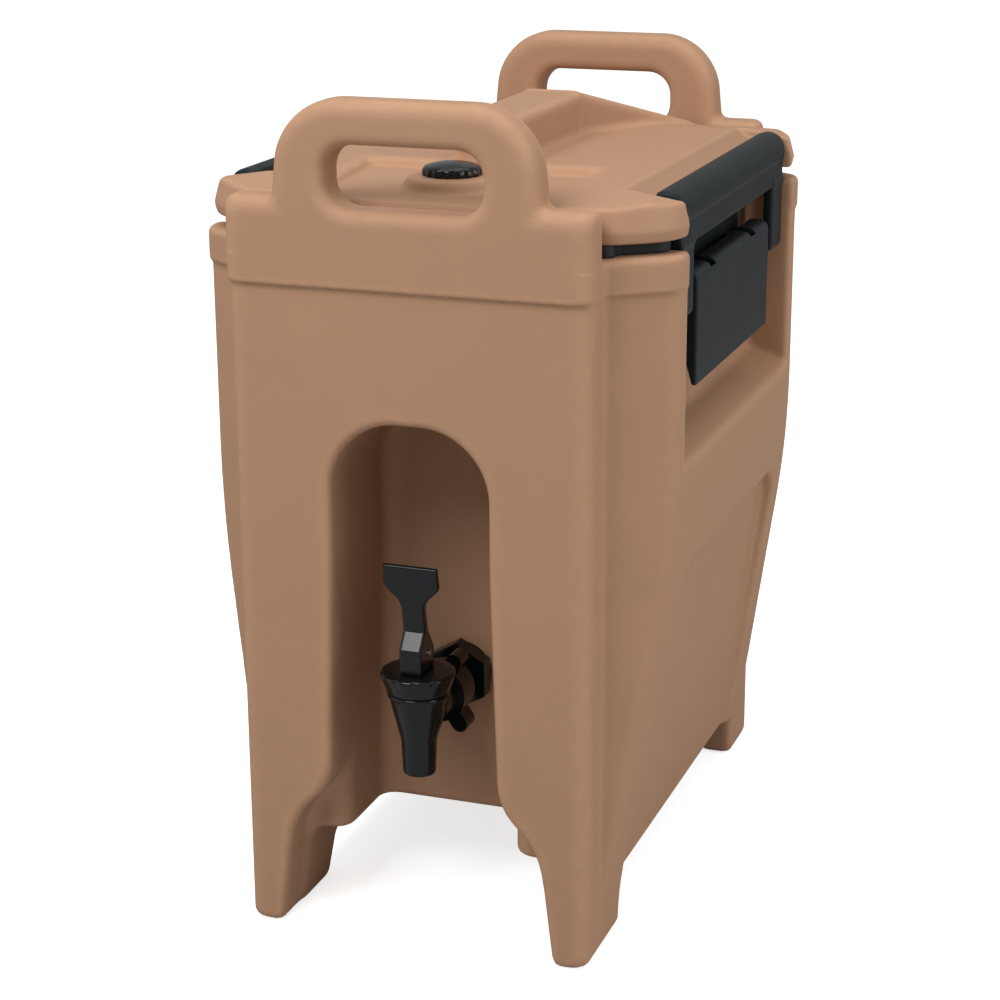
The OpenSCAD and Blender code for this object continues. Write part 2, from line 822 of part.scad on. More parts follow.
module bracket_screws() color(steel_c) {
    head_x = pocket_x + seat_gap + bracket_t;
    bracket_screw_places(bracket_screw_r - run_fit, pocket_x - skin, head_x + eps);
    difference() {
        bracket_screw_places(bracket_screw_r + 2, head_x, head_x + 2.5);
        for (y = [-lever_w / 2 + screw_in, lever_w / 2 - screw_in])
            for (z = [lever_pivot_z - screw_rise, lever_pivot_z + screw_rise])
                translate([head_x + 1.2, y - 0.5, z - 3]) cube([2, 1, 6]);
    }
}

module lever_pin() color(steel_c) {
    along_y(-lever_w / 2 + 3, lever_w / 2 - 3)
        translate([lever_pivot_x, lever_pivot_z]) circle(r = latch_pin_r);
}

// Lever: a wedge hung on its pin, with slots in its back that the bracket ears stand in
module lever() color(latch_c) {
    top_z = lever_pivot_z + lever_rise;
    back_x = latch_x - lever_t;
    ear_clear = ear_r + part_gap + seat_gap;
    slot_w = ear_w + 2 * part_gap;
    difference() {
        along_y(-lever_w / 2, lever_w / 2)
            polygon(rounded([[latch_x, lever_low, 1.5], [latch_x, top_z, 5], [back_x + 1, top_z, 3],
                [back_x, bail_pivot_z - 8, 4], [latch_x - 4, lever_low, 1.5]]));
        for (y = [-ear_y, ear_y]) translate([pocket_x, y - slot_w / 2, lever_pivot_z]) {
            translate([0, 0, -ear_clear])
                cube([lever_pivot_x + ear_clear - pocket_x, slot_w, ear_clear + 2 * lever_rise]);
            translate([0, 0, lip_rise]) cube([body_w, slot_w, 2 * lever_rise]);
        }
        along_y(-lever_w, lever_w) translate([lever_pivot_x, lever_pivot_z]) circle(r = latch_pin_r + run_fit);
        along_y(-lever_w, lever_w) translate([lever_pivot_x, bail_pivot_z]) circle(r = latch_pin_r);
    }
}

module bail_pin() color(steel_c) {
    along_y(-bail_len / 2 + 4, bail_len / 2 - 4)
        translate([lever_pivot_x, bail_pivot_z]) circle(r = latch_pin_r);
}

// Bail: a cross bar with its hook over the lid, and two rails down to the pivot
module bail() color(latch_c) {
    bar_top = notch_z + part_gap + hook_slope * (lid_cut_x - hook_tip_x) + hook_t;
    under_out = notch_z + part_gap;
    under_in = under_out + hook_slope * (lid_cut_x - hook_tip_x);
    bar_low = bar_top - bail_bar_h - hook_t;
    rail_low = bail_pivot_z - latch_pin_r - 3.5;
    difference() {
        union() {
            along_y(-bail_len / 2, bail_len / 2)
                polygon(rounded([[bail_in, bar_low, 0], [latch_x, bar_low, 0], [latch_x, bar_top - 3, 5],
                    [latch_x - 5, bar_top, 4], [hook_tip_x, bar_top, 1.5], [hook_tip_x, under_in, 1],
                    [bail_in, under_out, 0]]));
            both_y() along_y(bail_len / 2 - rail_w, bail_len / 2)
                polygon(rounded([[bail_in, rail_low, 3.5], [latch_x, rail_low + 3, 2],
                    [latch_x, bar_low + eps, 0], [bail_in, bar_low + eps, 0]]));
        }
        along_y(-bail_len, bail_len) translate([lever_pivot_x, bail_pivot_z]) circle(r = latch_pin_r + run_fit);
    }
}

module latch_bracket_right() bracket();
module latch_bracket_left() mirror([1, 0, 0]) bracket();
module bracket_screws_right() bracket_screws();
module bracket_screws_left() mirror([1, 0, 0]) bracket_screws();
module lever_pin_right() lever_pin();
module lever_pin_left() mirror([1, 0, 0]) lever_pin();
module latch_lever_right() lever();
module latch_lever_left() mirror([1, 0, 0]) lever();
module bail_pin_right() bail_pin();
module bail_pin_left() mirror([1, 0, 0]) bail_pin();
module latch_bail_right() bail();
module latch_bail_left() mirror([1, 0, 0]) bail();

// Tap
inlet_y = tap_y + 38;        // rear end of the tap's inlet boss
inlet_r = 12;                // radius of the inlet boss
seat_z = shank_z - 6;        // height of the valve seat
seat_hole_r = 6;             // radius of the hole in the seat
chamber_r = 13.5;            // radius of the top of the valve chamber
chamber_low_r = 9.2;         // radius of the bottom of the valve chamber
funnel_z = spout_z + 19;     // height where the spout opens into the funnel
washer_t = 3;                // thickness of both shank washers
coupling_len = 10;           // length of the coupling nut over the inlet boss
nut_t = 10;                  // thickness of both shank nuts
nut_r = 20;                  // corner radius of the nut in the bay
tank_nut_r = 17;             // corner radius of the nut in the tank
cup_h = 6;                   // height of the seat cup
stem_collar_t = 1.5;         // thickness of the collar under the spring
bonnet_roof = 5;             // thickness of the bonnet round the stem
tap_pin_r = 1.5;             // radius of the tap lever's pin

module ring_y(y0, y1, r_out, r_in) {
    along_y(y0, y1) translate([0, shank_z]) difference() {
        circle(r = r_out);
        circle(r = r_in);
    }
}

module hex_nut_y(y0, y1, r_out, r_in) {
    along_y(y0, y1) translate([0, shank_z]) difference() {
        rotate(30) circle(r = r_out, $fn = 6);
        circle(r = r_in);
    }
}

module faucet_shank() color(tap_c) {
    tank_end = tank_front + washer_t + nut_t + 4;
    collar_y = inlet_y + seat_gap;
    ring_y(collar_y, tank_end, shank_r, shank_bore_r);
    ring_y(collar_y, collar_y + 3, shank_r + 2, shank_bore_r);
}

module bay_washer() color(seal_c) ring_y(bay_back - washer_t, bay_back, shank_r + 9, shank_r + run_fit);
module tank_washer() color(seal_c) ring_y(tank_front, tank_front + washer_t, shank_r + 7, shank_r + run_fit);

module shank_nut() color(tap_c) {
    y1 = bay_back - washer_t;
    hex_nut_y(y1 - nut_t, y1, nut_r, shank_r + run_fit);
}

module tank_nut() color(tap_c) {
    y0 = tank_front + washer_t;
    hex_nut_y(y0, y0 + nut_t, tank_nut_r, shank_r + run_fit);
}

// Coupling nut with wings, which draws the tap onto the shank
module coupling_nut() color(tap_c) {
    lip_y = inlet_y + seat_gap + 3 + seat_gap;
    y0 = inlet_y - coupling_len;
    wings = 3;
    wing_r = 4.5;
    difference() {
        union() {
            ring_y(y0, lip_y + 3, inlet_r + 4, 0.01);
            for (i = [0 : wings - 1]) along_y(y0 + 2, lip_y + 1) translate([0, shank_z])
                rotate(i * 360 / wings - 55) {
                    translate([0, -wing_r]) square([inlet_r + 9, 2 * wing_r]);
                    translate([inlet_r + 9, 0]) circle(r = wing_r);
                }
        }
        ring_y(y0 - 1, lip_y, inlet_r + run_fit, 0);
        ring_y(y0 - 1, lip_y + 5, shank_r + run_fit, 0);
    }
}

// Tap body: a tapered spout turned about the upright axis, with its inlet boss
module faucet_body() color(tap_c) {
    difference() {
        union() {
            translate([0, tap_y, 0]) rotate_extrude()
                polygon([[0, spout_z], [spout_r - 1, spout_z], [spout_r, spout_z + 1.5],
                    [spout_r + 0.8, funnel_z], [tap_top_r - 0.9, tap_top_z - 3],
                    [tap_top_r, tap_top_z - 2.4], [tap_top_r, tap_top_z], [0, tap_top_z]]);
            along_y(tap_y, inlet_y) translate([0, shank_z]) circle(r = inlet_r);
        }
        translate([0, tap_y, 0]) rotate_extrude()
            polygon([[0, seat_z], [chamber_low_r, seat_z], [chamber_r, tap_top_z - 6],
                [chamber_r, tap_top_z + 1], [0, tap_top_z + 1]]);
        translate([0, tap_y, spout_z - 1]) cylinder(r = seat_hole_r, h = seat_z - spout_z + 2);
        along_y(tap_y, inlet_y + 1) translate([0, shank_z]) circle(r = shank_bore_r);
    }
}

// Bonnet: a flared cap with grip notches, which closes the chamber and guides the stem
module faucet_bonnet() color(tap_c) {
    notches = 12;
    z0 = tap_top_z;
    translate([0, tap_y, 0]) difference() {
        translate([0, 0, z0]) rotate_extrude()
            polygon([[0, 0], [tap_top_r, 0], [tap_top_r + 0.6, 1], [bonnet_r, bonnet_h - 2.4],
                [bonnet_r, bonnet_h - 1.2], [bonnet_r - 1.2, bonnet_h - 0.5], [bonnet_r - 6, bonnet_h],
                [0, bonnet_h]]);
        for (i = [0 : notches - 1])
            rotate([0, 0, (i + 0.5) * 360 / notches]) translate([bonnet_r + 1.6, 0, z0 + bonnet_h / 2])
                cylinder(r = 2.4, h = bonnet_h);
        translate([0, 0, z0 - 1]) cylinder(r = chamber_r - 3, h = 1 + bonnet_h - bonnet_roof);
        translate([0, 0, z0]) cylinder(r = stem_r + run_fit, h = bonnet_h + 1);
    }
}

module faucet_stem() color(steel_c) {
    z0 = seat_z + cup_h;
    difference() {
        translate([0, tap_y, z0]) cylinder(r = stem_r, h = tap_pin_z + 4 - z0);
        translate([-stem_r - 1, tap_y, tap_pin_z]) rotate([0, 90, 0])
            cylinder(r = tap_pin_r, h = 2 * stem_r + 2);
    }
    translate([0, tap_y, z0]) cylinder(r = spring_r + 1, h = stem_collar_t);
}

module seat_cup() color(seal_c) {
    translate([0, tap_y, seat_z + seat_gap]) rotate_extrude()
        polygon([[0, 0], [seat_hole_r + 1.6, 0], [seat_hole_r + 2, 2], [seat_hole_r, cup_h - seat_gap],
            [0, cup_h - seat_gap]]);
}

// Return spring between the stem's collar and the bonnet, swept as one tube
spring_r = 7;                // mean radius of the coil
spring_wire = 0.8;           // radius of the wire
spring_turns = 6;
spring_sides = 6;
spring_rings = 12;
module stem_spring() color(steel_c) {
    z0 = seat_z + cup_h + stem_collar_t + spring_wire + 0.1;
    z1 = bonnet_top - bonnet_roof - spring_wire - 0.1;
    n = spring_turns * spring_rings;
    pts = [for (i = [0 : n]) for (k = [0 : spring_sides - 1])
        let (a = 360 * i / spring_rings, b = 360 * k / spring_sides, r = spring_r + spring_wire * cos(b))
        [r * cos(a), tap_y + r * sin(a), z0 + (z1 - z0) * i / n + spring_wire * sin(b)]];
    sides = [for (i = [0 : n - 1]) for (k = [0 : spring_sides - 1])
        let (k2 = (k + 1) % spring_sides, a = i * spring_sides, b = a + spring_sides)
        each [[a + k, b + k, b + k2], [a + k, b + k2, a + k2]]];
    first = [for (k = [1 : spring_sides - 2]) [0, k, k + 1]];
    e = n * spring_sides;
    last = [for (k = [1 : spring_sides - 2]) [e, e + k + 1, e + k]];
    polyhedron(points = pts, faces = concat(sides, first, last));
}

module lever_pin_tap() color(steel_c) {
    half = neck_w / 2 + pin_proud;
    translate([-half, tap_y, tap_pin_z]) rotate([0, 90, 0]) cylinder(r = tap_pin_r, h = 2 * half);
}

// Tap lever: a heel whose toe rolls on the bonnet, a neck that leans forward and a broad paddle
pin_proud = 1;               // how far the lever's pin stands out of its heel
facet_h = 10;                // height of the slanted face between the heel and the neck
neck_t = 8;                  // thickness of the neck
flare_h = 10;                // height over which the neck widens to the paddle
pull = 18;                   // angle of the pulled lever
module faucet_lever() color(tap_c) {
    z0 = bonnet_top + part_gap;
    z1 = paddle_top - paddle_h;
    facet_z = z0 + heel_h;
    slot_x = stem_r + part_gap;
    slot_y = stem_r + part_gap + pin_rise * tan(pull + 3);
    translate([0, tap_y, 0]) difference() {
        intersection() {
            along_y(-2 * neck_reach, 2 * neck_reach)
                polygon(rounded(both_sides([[neck_w / 2, z0, 1], [neck_w / 2, z1 - flare_h, 8],
                    [paddle_w / 2, z1, 2], [paddle_w / 2, paddle_top, 1]])));
            along_x(-paddle_w, paddle_w)
                polygon(rounded([[-heel_reach, z0, 1.5], [heel_reach, z0, 1.5], [heel_reach, facet_z - 3, 5],
                    [neck_t - neck_reach, facet_z + facet_h, 8], [paddle_t - neck_reach, z1, 6],
                    [paddle_t - neck_reach, paddle_top, 1.5], [-neck_reach, paddle_top, 1.5],
                    [-neck_reach, facet_z + facet_h, 1], [-heel_reach, facet_z, 1]]));
        }
        translate([-slot_x, -slot_y, z0 - 1]) cube([2 * slot_x, 2 * slot_y, pin_rise + 5.5]);
        translate([-neck_w, 0, tap_pin_z]) rotate([0, 90, 0]) cylinder(r = tap_pin_r + run_fit, h = 2 * neck_w);
    }
}

body_shell();
rim_band();
handle_front();
handle_rear();
base_panel();
feet_right();
feet_left();
bay_liner();
tank_liner();
mouth_liner();
pocket_liner_right();
pocket_liner_left();
foam_core();
foam_plug();
lid_shell();
lid_foam();
lid_gasket();
vent_seal();
vent_cap();
latch_bracket_right();
bracket_screws_right();
lever_pin_right();
latch_lever_right();
bail_pin_right();
latch_bail_right();
latch_bracket_left();
bracket_screws_left();
lever_pin_left();
latch_lever_left();
bail_pin_left();
latch_bail_left();
faucet_shank();
bay_washer();
shank_nut();
tank_washer();
tank_nut();
coupling_nut();
faucet_body();
faucet_bonnet();
faucet_stem();
seat_cup();
stem_spring();
lever_pin_tap();
faucet_lever();
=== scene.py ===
"""Looks of an insulated beverage carrier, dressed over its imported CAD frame.

The moulded pieces are worked out as distance fields: each form is a function of x, y and z that is
negative inside, forms are joined and cut with soft edges, and the surface is netted on a grid of
cells as whole numpy arrays. All sizes are in millimetres until a mesh is made, which is in metres.
The last number of a soft_and, soft_or or soft_cut call is the width of that blend.
"""
import json
import logging
import math
from dataclasses import dataclass, field
from enum import Enum
from typing import Callable

import bpy
import numpy as np
from mathutils import Matrix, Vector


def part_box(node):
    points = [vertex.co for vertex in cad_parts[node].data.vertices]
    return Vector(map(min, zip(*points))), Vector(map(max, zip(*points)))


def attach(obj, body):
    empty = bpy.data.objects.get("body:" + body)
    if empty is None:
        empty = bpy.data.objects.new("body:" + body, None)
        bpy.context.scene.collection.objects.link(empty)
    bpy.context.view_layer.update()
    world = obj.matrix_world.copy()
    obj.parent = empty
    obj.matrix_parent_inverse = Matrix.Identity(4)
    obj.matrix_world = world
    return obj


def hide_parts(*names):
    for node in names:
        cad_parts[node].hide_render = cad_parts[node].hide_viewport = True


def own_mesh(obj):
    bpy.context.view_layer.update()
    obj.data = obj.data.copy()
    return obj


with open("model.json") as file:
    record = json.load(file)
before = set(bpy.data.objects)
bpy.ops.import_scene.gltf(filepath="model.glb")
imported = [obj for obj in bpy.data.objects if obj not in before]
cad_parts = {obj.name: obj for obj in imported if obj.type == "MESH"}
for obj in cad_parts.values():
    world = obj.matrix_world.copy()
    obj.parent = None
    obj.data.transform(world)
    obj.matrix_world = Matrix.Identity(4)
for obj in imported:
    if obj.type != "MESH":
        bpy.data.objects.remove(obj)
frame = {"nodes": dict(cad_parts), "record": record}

Array = np.ndarray
Form = Callable[[Array, Array, Array], Array]

log = logging.getLogger("carrier")
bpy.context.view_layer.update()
MM_PER_M = 1000.0
TAP_Y = -167.5
VENT_Y = -108.5
WIRE_SIDES = 8
WHITE = (1.0, 1.0, 1.0, 1.0)


class Side(Enum):
    """The two latch sides of the carrier, with the sign of their X."""

    RIGHT = 1
    LEFT = -1

    @property
    def tag(self) -> str:
        """Ending of the names of the nodes on this side."""
        return self.name.lower()


class Slot(Enum):
    """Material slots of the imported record."""

    SHELL = "tan_polyethylene"
    LATCH = "latch_plastic"
    TAP = "tap_plastic"
    SEAL = "seal_rubber"
    FOAM = "foam"
    STEEL = "pin_steel"


def soft_and(a: Array, b: Array, k: float) -> Array:
    """Overlap of two forms with a rounded edge: max(a, b) plus (k - |a - b|)^2 / 4k where that is near.

    Args:
        a: distances to the first form.
        b: distances to the second form.
        k: width of the blend in millimetres, about 1.2 times the edge radius.

    Returns:
        Distances to the overlap.
    """
    near = np.maximum(k - np.abs(a - b), 0.0)
    return np.maximum(a, b) + near * near / (4.0 * k)


def soft_or(a: Array, b: Array, k: float) -> Array:
    """Union of two forms with a filleted corner, the overlap of their outsides.

    Args:
        a: distances to the first form.
        b: distances to the second form.
        k: width of the blend in millimetres.

    Returns:
        Distances to the union.
    """
    return -soft_and(-a, -b, k)


def soft_cut(a: Array, b: Array, k: float) -> Array:
    """First form with the second cut out of it, the cut's edge rounded.

    Args:
        a: distances to the form that is cut.
        b: distances to the form that is taken away.
        k: width of the blend in millimetres.

    Returns:
        Distances to what is left.
    """
    return soft_and(a, -b, k)


def plate(u: Array, v: Array, half_u: float, half_v: float, r: float) -> Array:
    """Rounded rectangle about the origin: length(max(q, 0)) + min(max(q), 0) - r, q = |p| - half + r.

    Args:
        u: first coordinate.
        v: second coordinate.
        half_u: half width.
        half_v: half height.
        r: radius of the corners.

    Returns:
        Distances to the rectangle's edge.
    """
    qu = np.abs(u) - half_u + r
    qv = np.abs(v) - half_v + r
    outer = np.hypot(np.maximum(qu, 0.0), np.maximum(qv, 0.0))
    return outer + np.minimum(np.maximum(qu, qv), 0.0) - r


def beside(u: Array, v: Array, start: tuple[float, float], end: tuple[float, float]) -> Array:
    """Distance to the right of the line from start to end, negative on its left.

    Args:
        u: first coordinate.
        v: second coordinate.
        start: a point of the line.
        end: a later point of the line.

    Returns:
        Signed distances.
    """
    du, dv = end[0] - start[0], end[1] - start[1]
    return ((u - start[0]) * dv - (v - start[1]) * du) / math.hypot(du, dv)


def steps(*runs: tuple[float, float, float]) -> Array:
    """Grid coordinates from runs of equal steps.

    Args:
        runs: each the start, end and largest step of a run, one after the other.

    Returns:
        All coordinates in rising order.
    """
    rows = [np.linspace(a, b, max(2, int(math.ceil((b - a) / s)) + 1)) for a, b, s in runs]
    return np.unique(np.round(np.concatenate(rows), 6))


def slope(form: Form, p: Array, h: float = 0.04) -> Array:
    """Gradient of a form by central differences of step h.

    Args:
        form: the distance field.
        p: points, one to a row.
        h: half the step in millimetres.

    Returns:
        Gradients, one to a row.
    """
    x, y, z = p.T
    gx = form(x + h, y, z) - form(x - h, y, z)
    gy = form(x, y + h, z) - form(x, y - h, z)
    gz = form(x, y, z + h) - form(x, y, z - h)
    return np.stack([gx, gy, gz], axis=1) / (2.0 * h)


def crossing_edges(f: Array, axis: int, lines: tuple[Array, Array, Array]) -> tuple[Array, Array, Array]:
    """Grid edges along one axis where the form changes sign.

    Args:
        f: the form's values at the grid's nodes.
        axis: 0, 1 or 2.
        lines: grid coordinates along X, Y and Z.

    Returns:
        Node indices of the edges' starts, the crossing points, and whether each starts inside.
    """
    low = np.moveaxis(f, axis, 0)[:-1]
    high = np.moveaxis(f, axis, 0)[1:]
    found = np.stack(np.nonzero((low < 0) != (high < 0)), axis=1)
    a = low[tuple(found.T)]
    b = high[tuple(found.T)]
    order = [axis] + [i for i in range(3) if i != axis]
    index = np.empty_like(found)
    index[:, order] = found
    point = np.stack([lines[i][index[:, i]] for i in range(3)], axis=1)
    step = lines[axis][index[:, axis] + 1] - lines[axis][index[:, axis]]
    point[:, axis] += step * a / (a - b)
    return index, point, a < 0


def net(form: Form, lines: tuple[Array, Array, Array], rounds: int = 4) -> tuple[Array, Array, Array]:
    """Surface of a form as a net of quads, one point to each grid cell that the surface crosses.

    A cell's point starts as the mean of the crossings on its edges and is then moved onto the
    surface by p - f g / |g|^2. Each crossed edge gives the quad of the four cells round it.

    Args:
        form: the distance field, negative inside.
        lines: grid coordinates along X, Y and Z, which enclose the form.
        rounds: how often the points are moved onto the surface.

    Returns:
        Points in millimetres, quads, and the surface's normals at the points.
    """
    f = form(lines[0][:, None, None], lines[1][None, :, None], lines[2][None, None, :])
    cells = np.array(f.shape) - 1
    total = int(np.prod(cells))
    sums = np.zeros((total, 3))
    count = np.zeros(total)
    faces: list[Array] = []
    for axis in range(3):
        index, point, starts_inside = crossing_edges(f, axis, lines)
        b, c = (axis + 1) % 3, (axis + 2) % 3
        ring = []
        for back_b, back_c in ((1, 1), (0, 1), (0, 0), (1, 0)):
            cell = index.copy()
            cell[:, b] -= back_b
            cell[:, c] -= back_c
            flat = np.ravel_multi_index(tuple(cell.T), tuple(cells))
            ring.append(flat)
            count += np.bincount(flat, minlength=total)
            for i in range(3):
                sums[:, i] += np.bincount(flat, weights=point[:, i], minlength=total)
        quad = np.stack(ring, axis=1)
        faces.append(np.where(starts_inside[:, None], quad, quad[:, ::-1]))
    used = count > 0
    number = np.cumsum(used) - 1
    p = sums[used] / count[used][:, None]
    for _ in range(rounds):
        g = slope(form, p)
        size = np.maximum((g * g).sum(axis=1), 0.05)
        p -= np.clip(form(*p.T) / size, -2.0, 2.0)[:, None] * g
    normal = slope(form, p)
    normal /= np.linalg.norm(normal, axis=1)[:, None]
    return p, number[np.concatenate(faces)], normal


def edge_painted_highlight(form: Form, p: Array, normal: Array, depth: float = 3.0) -> Array:
    """How sharply the surface turns outwards, from how shallow the form is just under it, which sets where
    the painted edge highlight goes.

    Args:
        form: the distance field.
        p: surface points.
        normal: surface normals.
        depth: how far under the surface the form is read.

    Returns:
        0 on a flat or hollow, rising to 1 on a tight outer edge.
    """
    under = p - depth * normal
    return np.clip((form(*under.T) + depth) / (0.35 * depth), 0.0, 1.0)


def make_piece(name: str, p: Array, quads: Array, normal: Array, painted_highlight: Array) -> bpy.types.Object:
    """Mesh object from arrays, in metres, smooth-shaded with the form's own normals.

    Args:
        name: the piece's name.
        p: points in millimetres.
        quads: four point numbers to a row, counter-clockwise from outside.
        normal: a normal for each point.
        painted_highlight: painted edge highlight for each point, kept as a point attribute.

    Returns:
        The new object, at the origin.
    """
    mesh = bpy.data.meshes.new(name)
    mesh.vertices.add(len(p))
    mesh.vertices.foreach_set("co", (p / MM_PER_M).astype(np.float32).ravel())
    mesh.loops.add(quads.size)
    mesh.loops.foreach_set("vertex_index", quads.astype(np.int32).ravel())
    mesh.polygons.add(len(quads))
    mesh.polygons.foreach_set("loop_start", np.arange(0, quads.size, 4, dtype=np.int32))
    mesh.polygons.foreach_set("use_smooth", np.ones(len(quads), dtype=bool))
    mesh.update(calc_edges=True)
    # Painted edge highlight for each point, kept for the finishes to read.
    kept = mesh.attributes.new("edge_painted_highlight", "FLOAT", "POINT")
    kept.data.foreach_set("value", painted_highlight.astype(np.float32))
    mesh.normals_split_custom_set_from_vertices(normal.astype(np.float32))
    piece = bpy.data.objects.new(name, mesh)
    bpy.context.scene.collection.objects.link(piece)
    return piece


@dataclass(frozen=True)
class Finish:
    """A procedural plastic, rubber or metal finish.

    Colour is written as it should look, in sRGB from 0 to 255. Mottle is a soft, broad change of
    colour, grain a fine bump, ripple a broad one, and a painted highlight lightens the outer edges.
    """

    name: str
    srgb: tuple[float, float, float]
    rough: float
    metal: float = 0.0
    mottle: float = 0.05
    mottle_scale: float = 26.0
    grain: float = 0.10
    grain_scale: float = 900.0
    ripple: float = 0.0
    painted_highlight: float = 0.0
    coat: float = 0.0
    specular: float = 0.5
    gloss_swing: float = 0.06
    painted_highlight_scale: float = 160.0
    grain_depth: float = 0.0004
    ripple_scale: float = 34.0
    ripple_depth: float = 0.002

    def linear(self, gain: float = 1.0) -> tuple[float, float, float, float]:
        """Linear colour for a shader socket, times a gain."""
        c = np.clip(np.array(self.srgb) / 255.0, 0.0, 1.0)
        lin = np.where(c <= 0.04045, c / 12.92, ((c + 0.055) / 1.055) ** 2.4) * gain
        return (float(lin[0]), float(lin[1]), float(lin[2]), 1.0)

    def noise(self, tree: bpy.types.NodeTree, place: bpy.types.Node, scale: float,
              detail: float) -> bpy.types.Node:
        """Noise texture on the piece's own coordinates."""
        made = tree.nodes.new("ShaderNodeTexNoise")
        made.inputs["Scale"].default_value = scale
        made.inputs["Detail"].default_value = detail
        tree.links.new(place.outputs["Object"], made.inputs["Vector"])
        return made

    def bump(self, tree: bpy.types.NodeTree, height: bpy.types.Node, strength: float,
             depth: float) -> bpy.types.Node:
        """Bump from a noise, with its strength and its depth in metres."""
        made = tree.nodes.new("ShaderNodeBump")
        made.inputs["Strength"].default_value = strength
        made.inputs["Distance"].default_value = depth
        tree.links.new(height.outputs["Fac"], made.inputs["Height"])
        return made

    def paint_edge_highlight(self, tree: bpy.types.NodeTree, place: bpy.types.Node,
               colour: bpy.types.NodeSocket) -> bpy.types.NodeSocket:
        """Colour with a painted highlight that lightens its outer edges unevenly, read from the pieces' edge
        attribute.
        """
        edge = tree.nodes.new("ShaderNodeAttribute")
        edge.attribute_name = "edge_painted_highlight"
        amount = tree.nodes.new("ShaderNodeMath")
        amount.operation = "MULTIPLY"
        tree.links.new(edge.outputs["Fac"], amount.inputs[0])
        tree.links.new(self.noise(tree, place, self.painted_highlight_scale, 3.0).outputs["Fac"], amount.inputs[1])
        made = tree.nodes.new("ShaderNodeMix")
        made.data_type = "RGBA"
        made.inputs["B"].default_value = self.linear(1.0 + self.painted_highlight)
        tree.links.new(amount.outputs["Value"], made.inputs["Factor"])
        tree.links.new(colour, made.inputs["A"])
        return made.outputs["Result"]

    def material(self) -> bpy.types.Material:
        """Node material of this finish: mottled colour, uneven gloss, fine grain and a painted highlight on
        outer edges.

        Returns:
            The material, made once and shared.
        """
        found = bpy.data.materials.get(self.name)
        if found:
            return found
        mat = bpy.data.materials.new(self.name)
        mat.use_nodes = True
        tree = mat.node_tree
        nodes, links = tree.nodes, tree.links
        shader = nodes["Principled BSDF"]
        shader.inputs["Metallic"].default_value = self.metal
        shader.inputs["Specular IOR Level"].default_value = self.specular
        shader.inputs["Coat Weight"].default_value = self.coat
        place = nodes.new("ShaderNodeTexCoord")
        broad = self.noise(tree, place, self.mottle_scale, 5.0)
        broad.inputs["Roughness"].default_value = 0.6
        tone = nodes.new("ShaderNodeMix")
        tone.data_type = "RGBA"
        tone.inputs["A"].default_value = self.linear(1.0 - self.mottle)
        tone.inputs["B"].default_value = self.linear(1.0 + self.mottle)
        links.new(broad.outputs["Fac"], tone.inputs["Factor"])
        colour = tone.outputs["Result"]
        # Painted highlight: the outer edges are lightened in the colour.
        if self.painted_highlight > 0.0:
            colour = self.paint_edge_highlight(tree, place, colour)
        links.new(colour, shader.inputs["Base Color"])
        gloss = nodes.new("ShaderNodeMapRange")
        gloss.inputs["To Min"].default_value = max(0.02, self.rough - self.gloss_swing)
        gloss.inputs["To Max"].default_value = min(1.0, self.rough + self.gloss_swing)
        links.new(broad.outputs["Fac"], gloss.inputs["Value"])
        links.new(gloss.outputs["Result"], shader.inputs["Roughness"])
        grit = self.noise(tree, place, self.grain_scale, 2.0)
        bump = self.bump(tree, grit, self.grain, self.grain_depth)
        if self.ripple > 0.0:
            wavy = self.noise(tree, place, self.ripple_scale, 2.0)
            under = self.bump(tree, wavy, self.ripple, self.ripple_depth)
            links.new(under.outputs["Normal"], bump.inputs["Normal"])
        links.new(bump.outputs["Normal"], shader.inputs["Normal"])
        return mat


# The shell, latch and tap finishes lighten their outer edges with a painted highlight.
SHELL = Finish("satin_tan_shell", (174, 136, 108), 0.52, mottle=0.05, grain=0.22, grain_scale=1100.0,
               ripple=0.10, painted_highlight=0.22, specular=0.08)
LATCH = Finish("dark_grey_latch", (23, 30, 32), 0.46, mottle=0.08, grain=0.22, grain_scale=1500.0, painted_highlight=0.5,
               specular=0.16)
TAP = Finish("black_tap_plastic", (10, 14, 15), 0.20, mottle=0.10, grain=0.06, painted_highlight=0.6, coat=0.1,
             specular=0.3)
SEAL = Finish("dark_seal_rubber", (14, 20, 25), 0.62, mottle=0.10, grain=0.25)
FOAM = Finish("rigid_foam", (236, 224, 186), 0.85, mottle=0.08, grain=0.6, grain_scale=500.0)
STEEL = Finish("bright_pin_steel", (196, 198, 200), 0.28, metal=1.0, mottle=0.05, grain=0.08,
               grain_scale=600.0)


@dataclass
class Moulding:
    """A moulded piece: its form, its grid, and the nodes that it stands for."""

    name: str
    body: str
    nodes: tuple[str, ...]
    slot: Slot
    finish: Finish

    def form(self, x: Array, y: Array, z: Array) -> Array:
        """Distance field of the piece, in millimetres and negative inside."""
        raise NotImplementedError

    def lines(self) -> tuple[Array, Array, Array]:
        """Grid coordinates that enclose the piece."""
        raise NotImplementedError

    def build(self) -> bpy.types.Object:
        """Nets the form, hides the nodes that it stands for, and gives the piece its body and finish.

        Returns:
            The finished piece.
        """
        p, quads, normal = net(self.form, self.lines())
        # Painted highlight, strongest on tight outer edges.
        painted_highlight = edge_painted_highlight(self.form, p, normal)
        piece = make_piece(self.name, p, quads, normal, painted_highlight)
        return self.dress(piece)

    def dress(self, piece: bpy.types.Object) -> bpy.types.Object:
        """Hands the piece to its body and gives it its finish.

        Args:
            piece: the new object.

        Returns:
            The same object.
        """
        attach(piece, self.body)
        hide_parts(*self.nodes)
        piece.data.materials.append(self.finish.material())
        log.info("%s: %d points, %d faces", piece.name, len(piece.data.vertices), len(piece.data.polygons))
        return piece


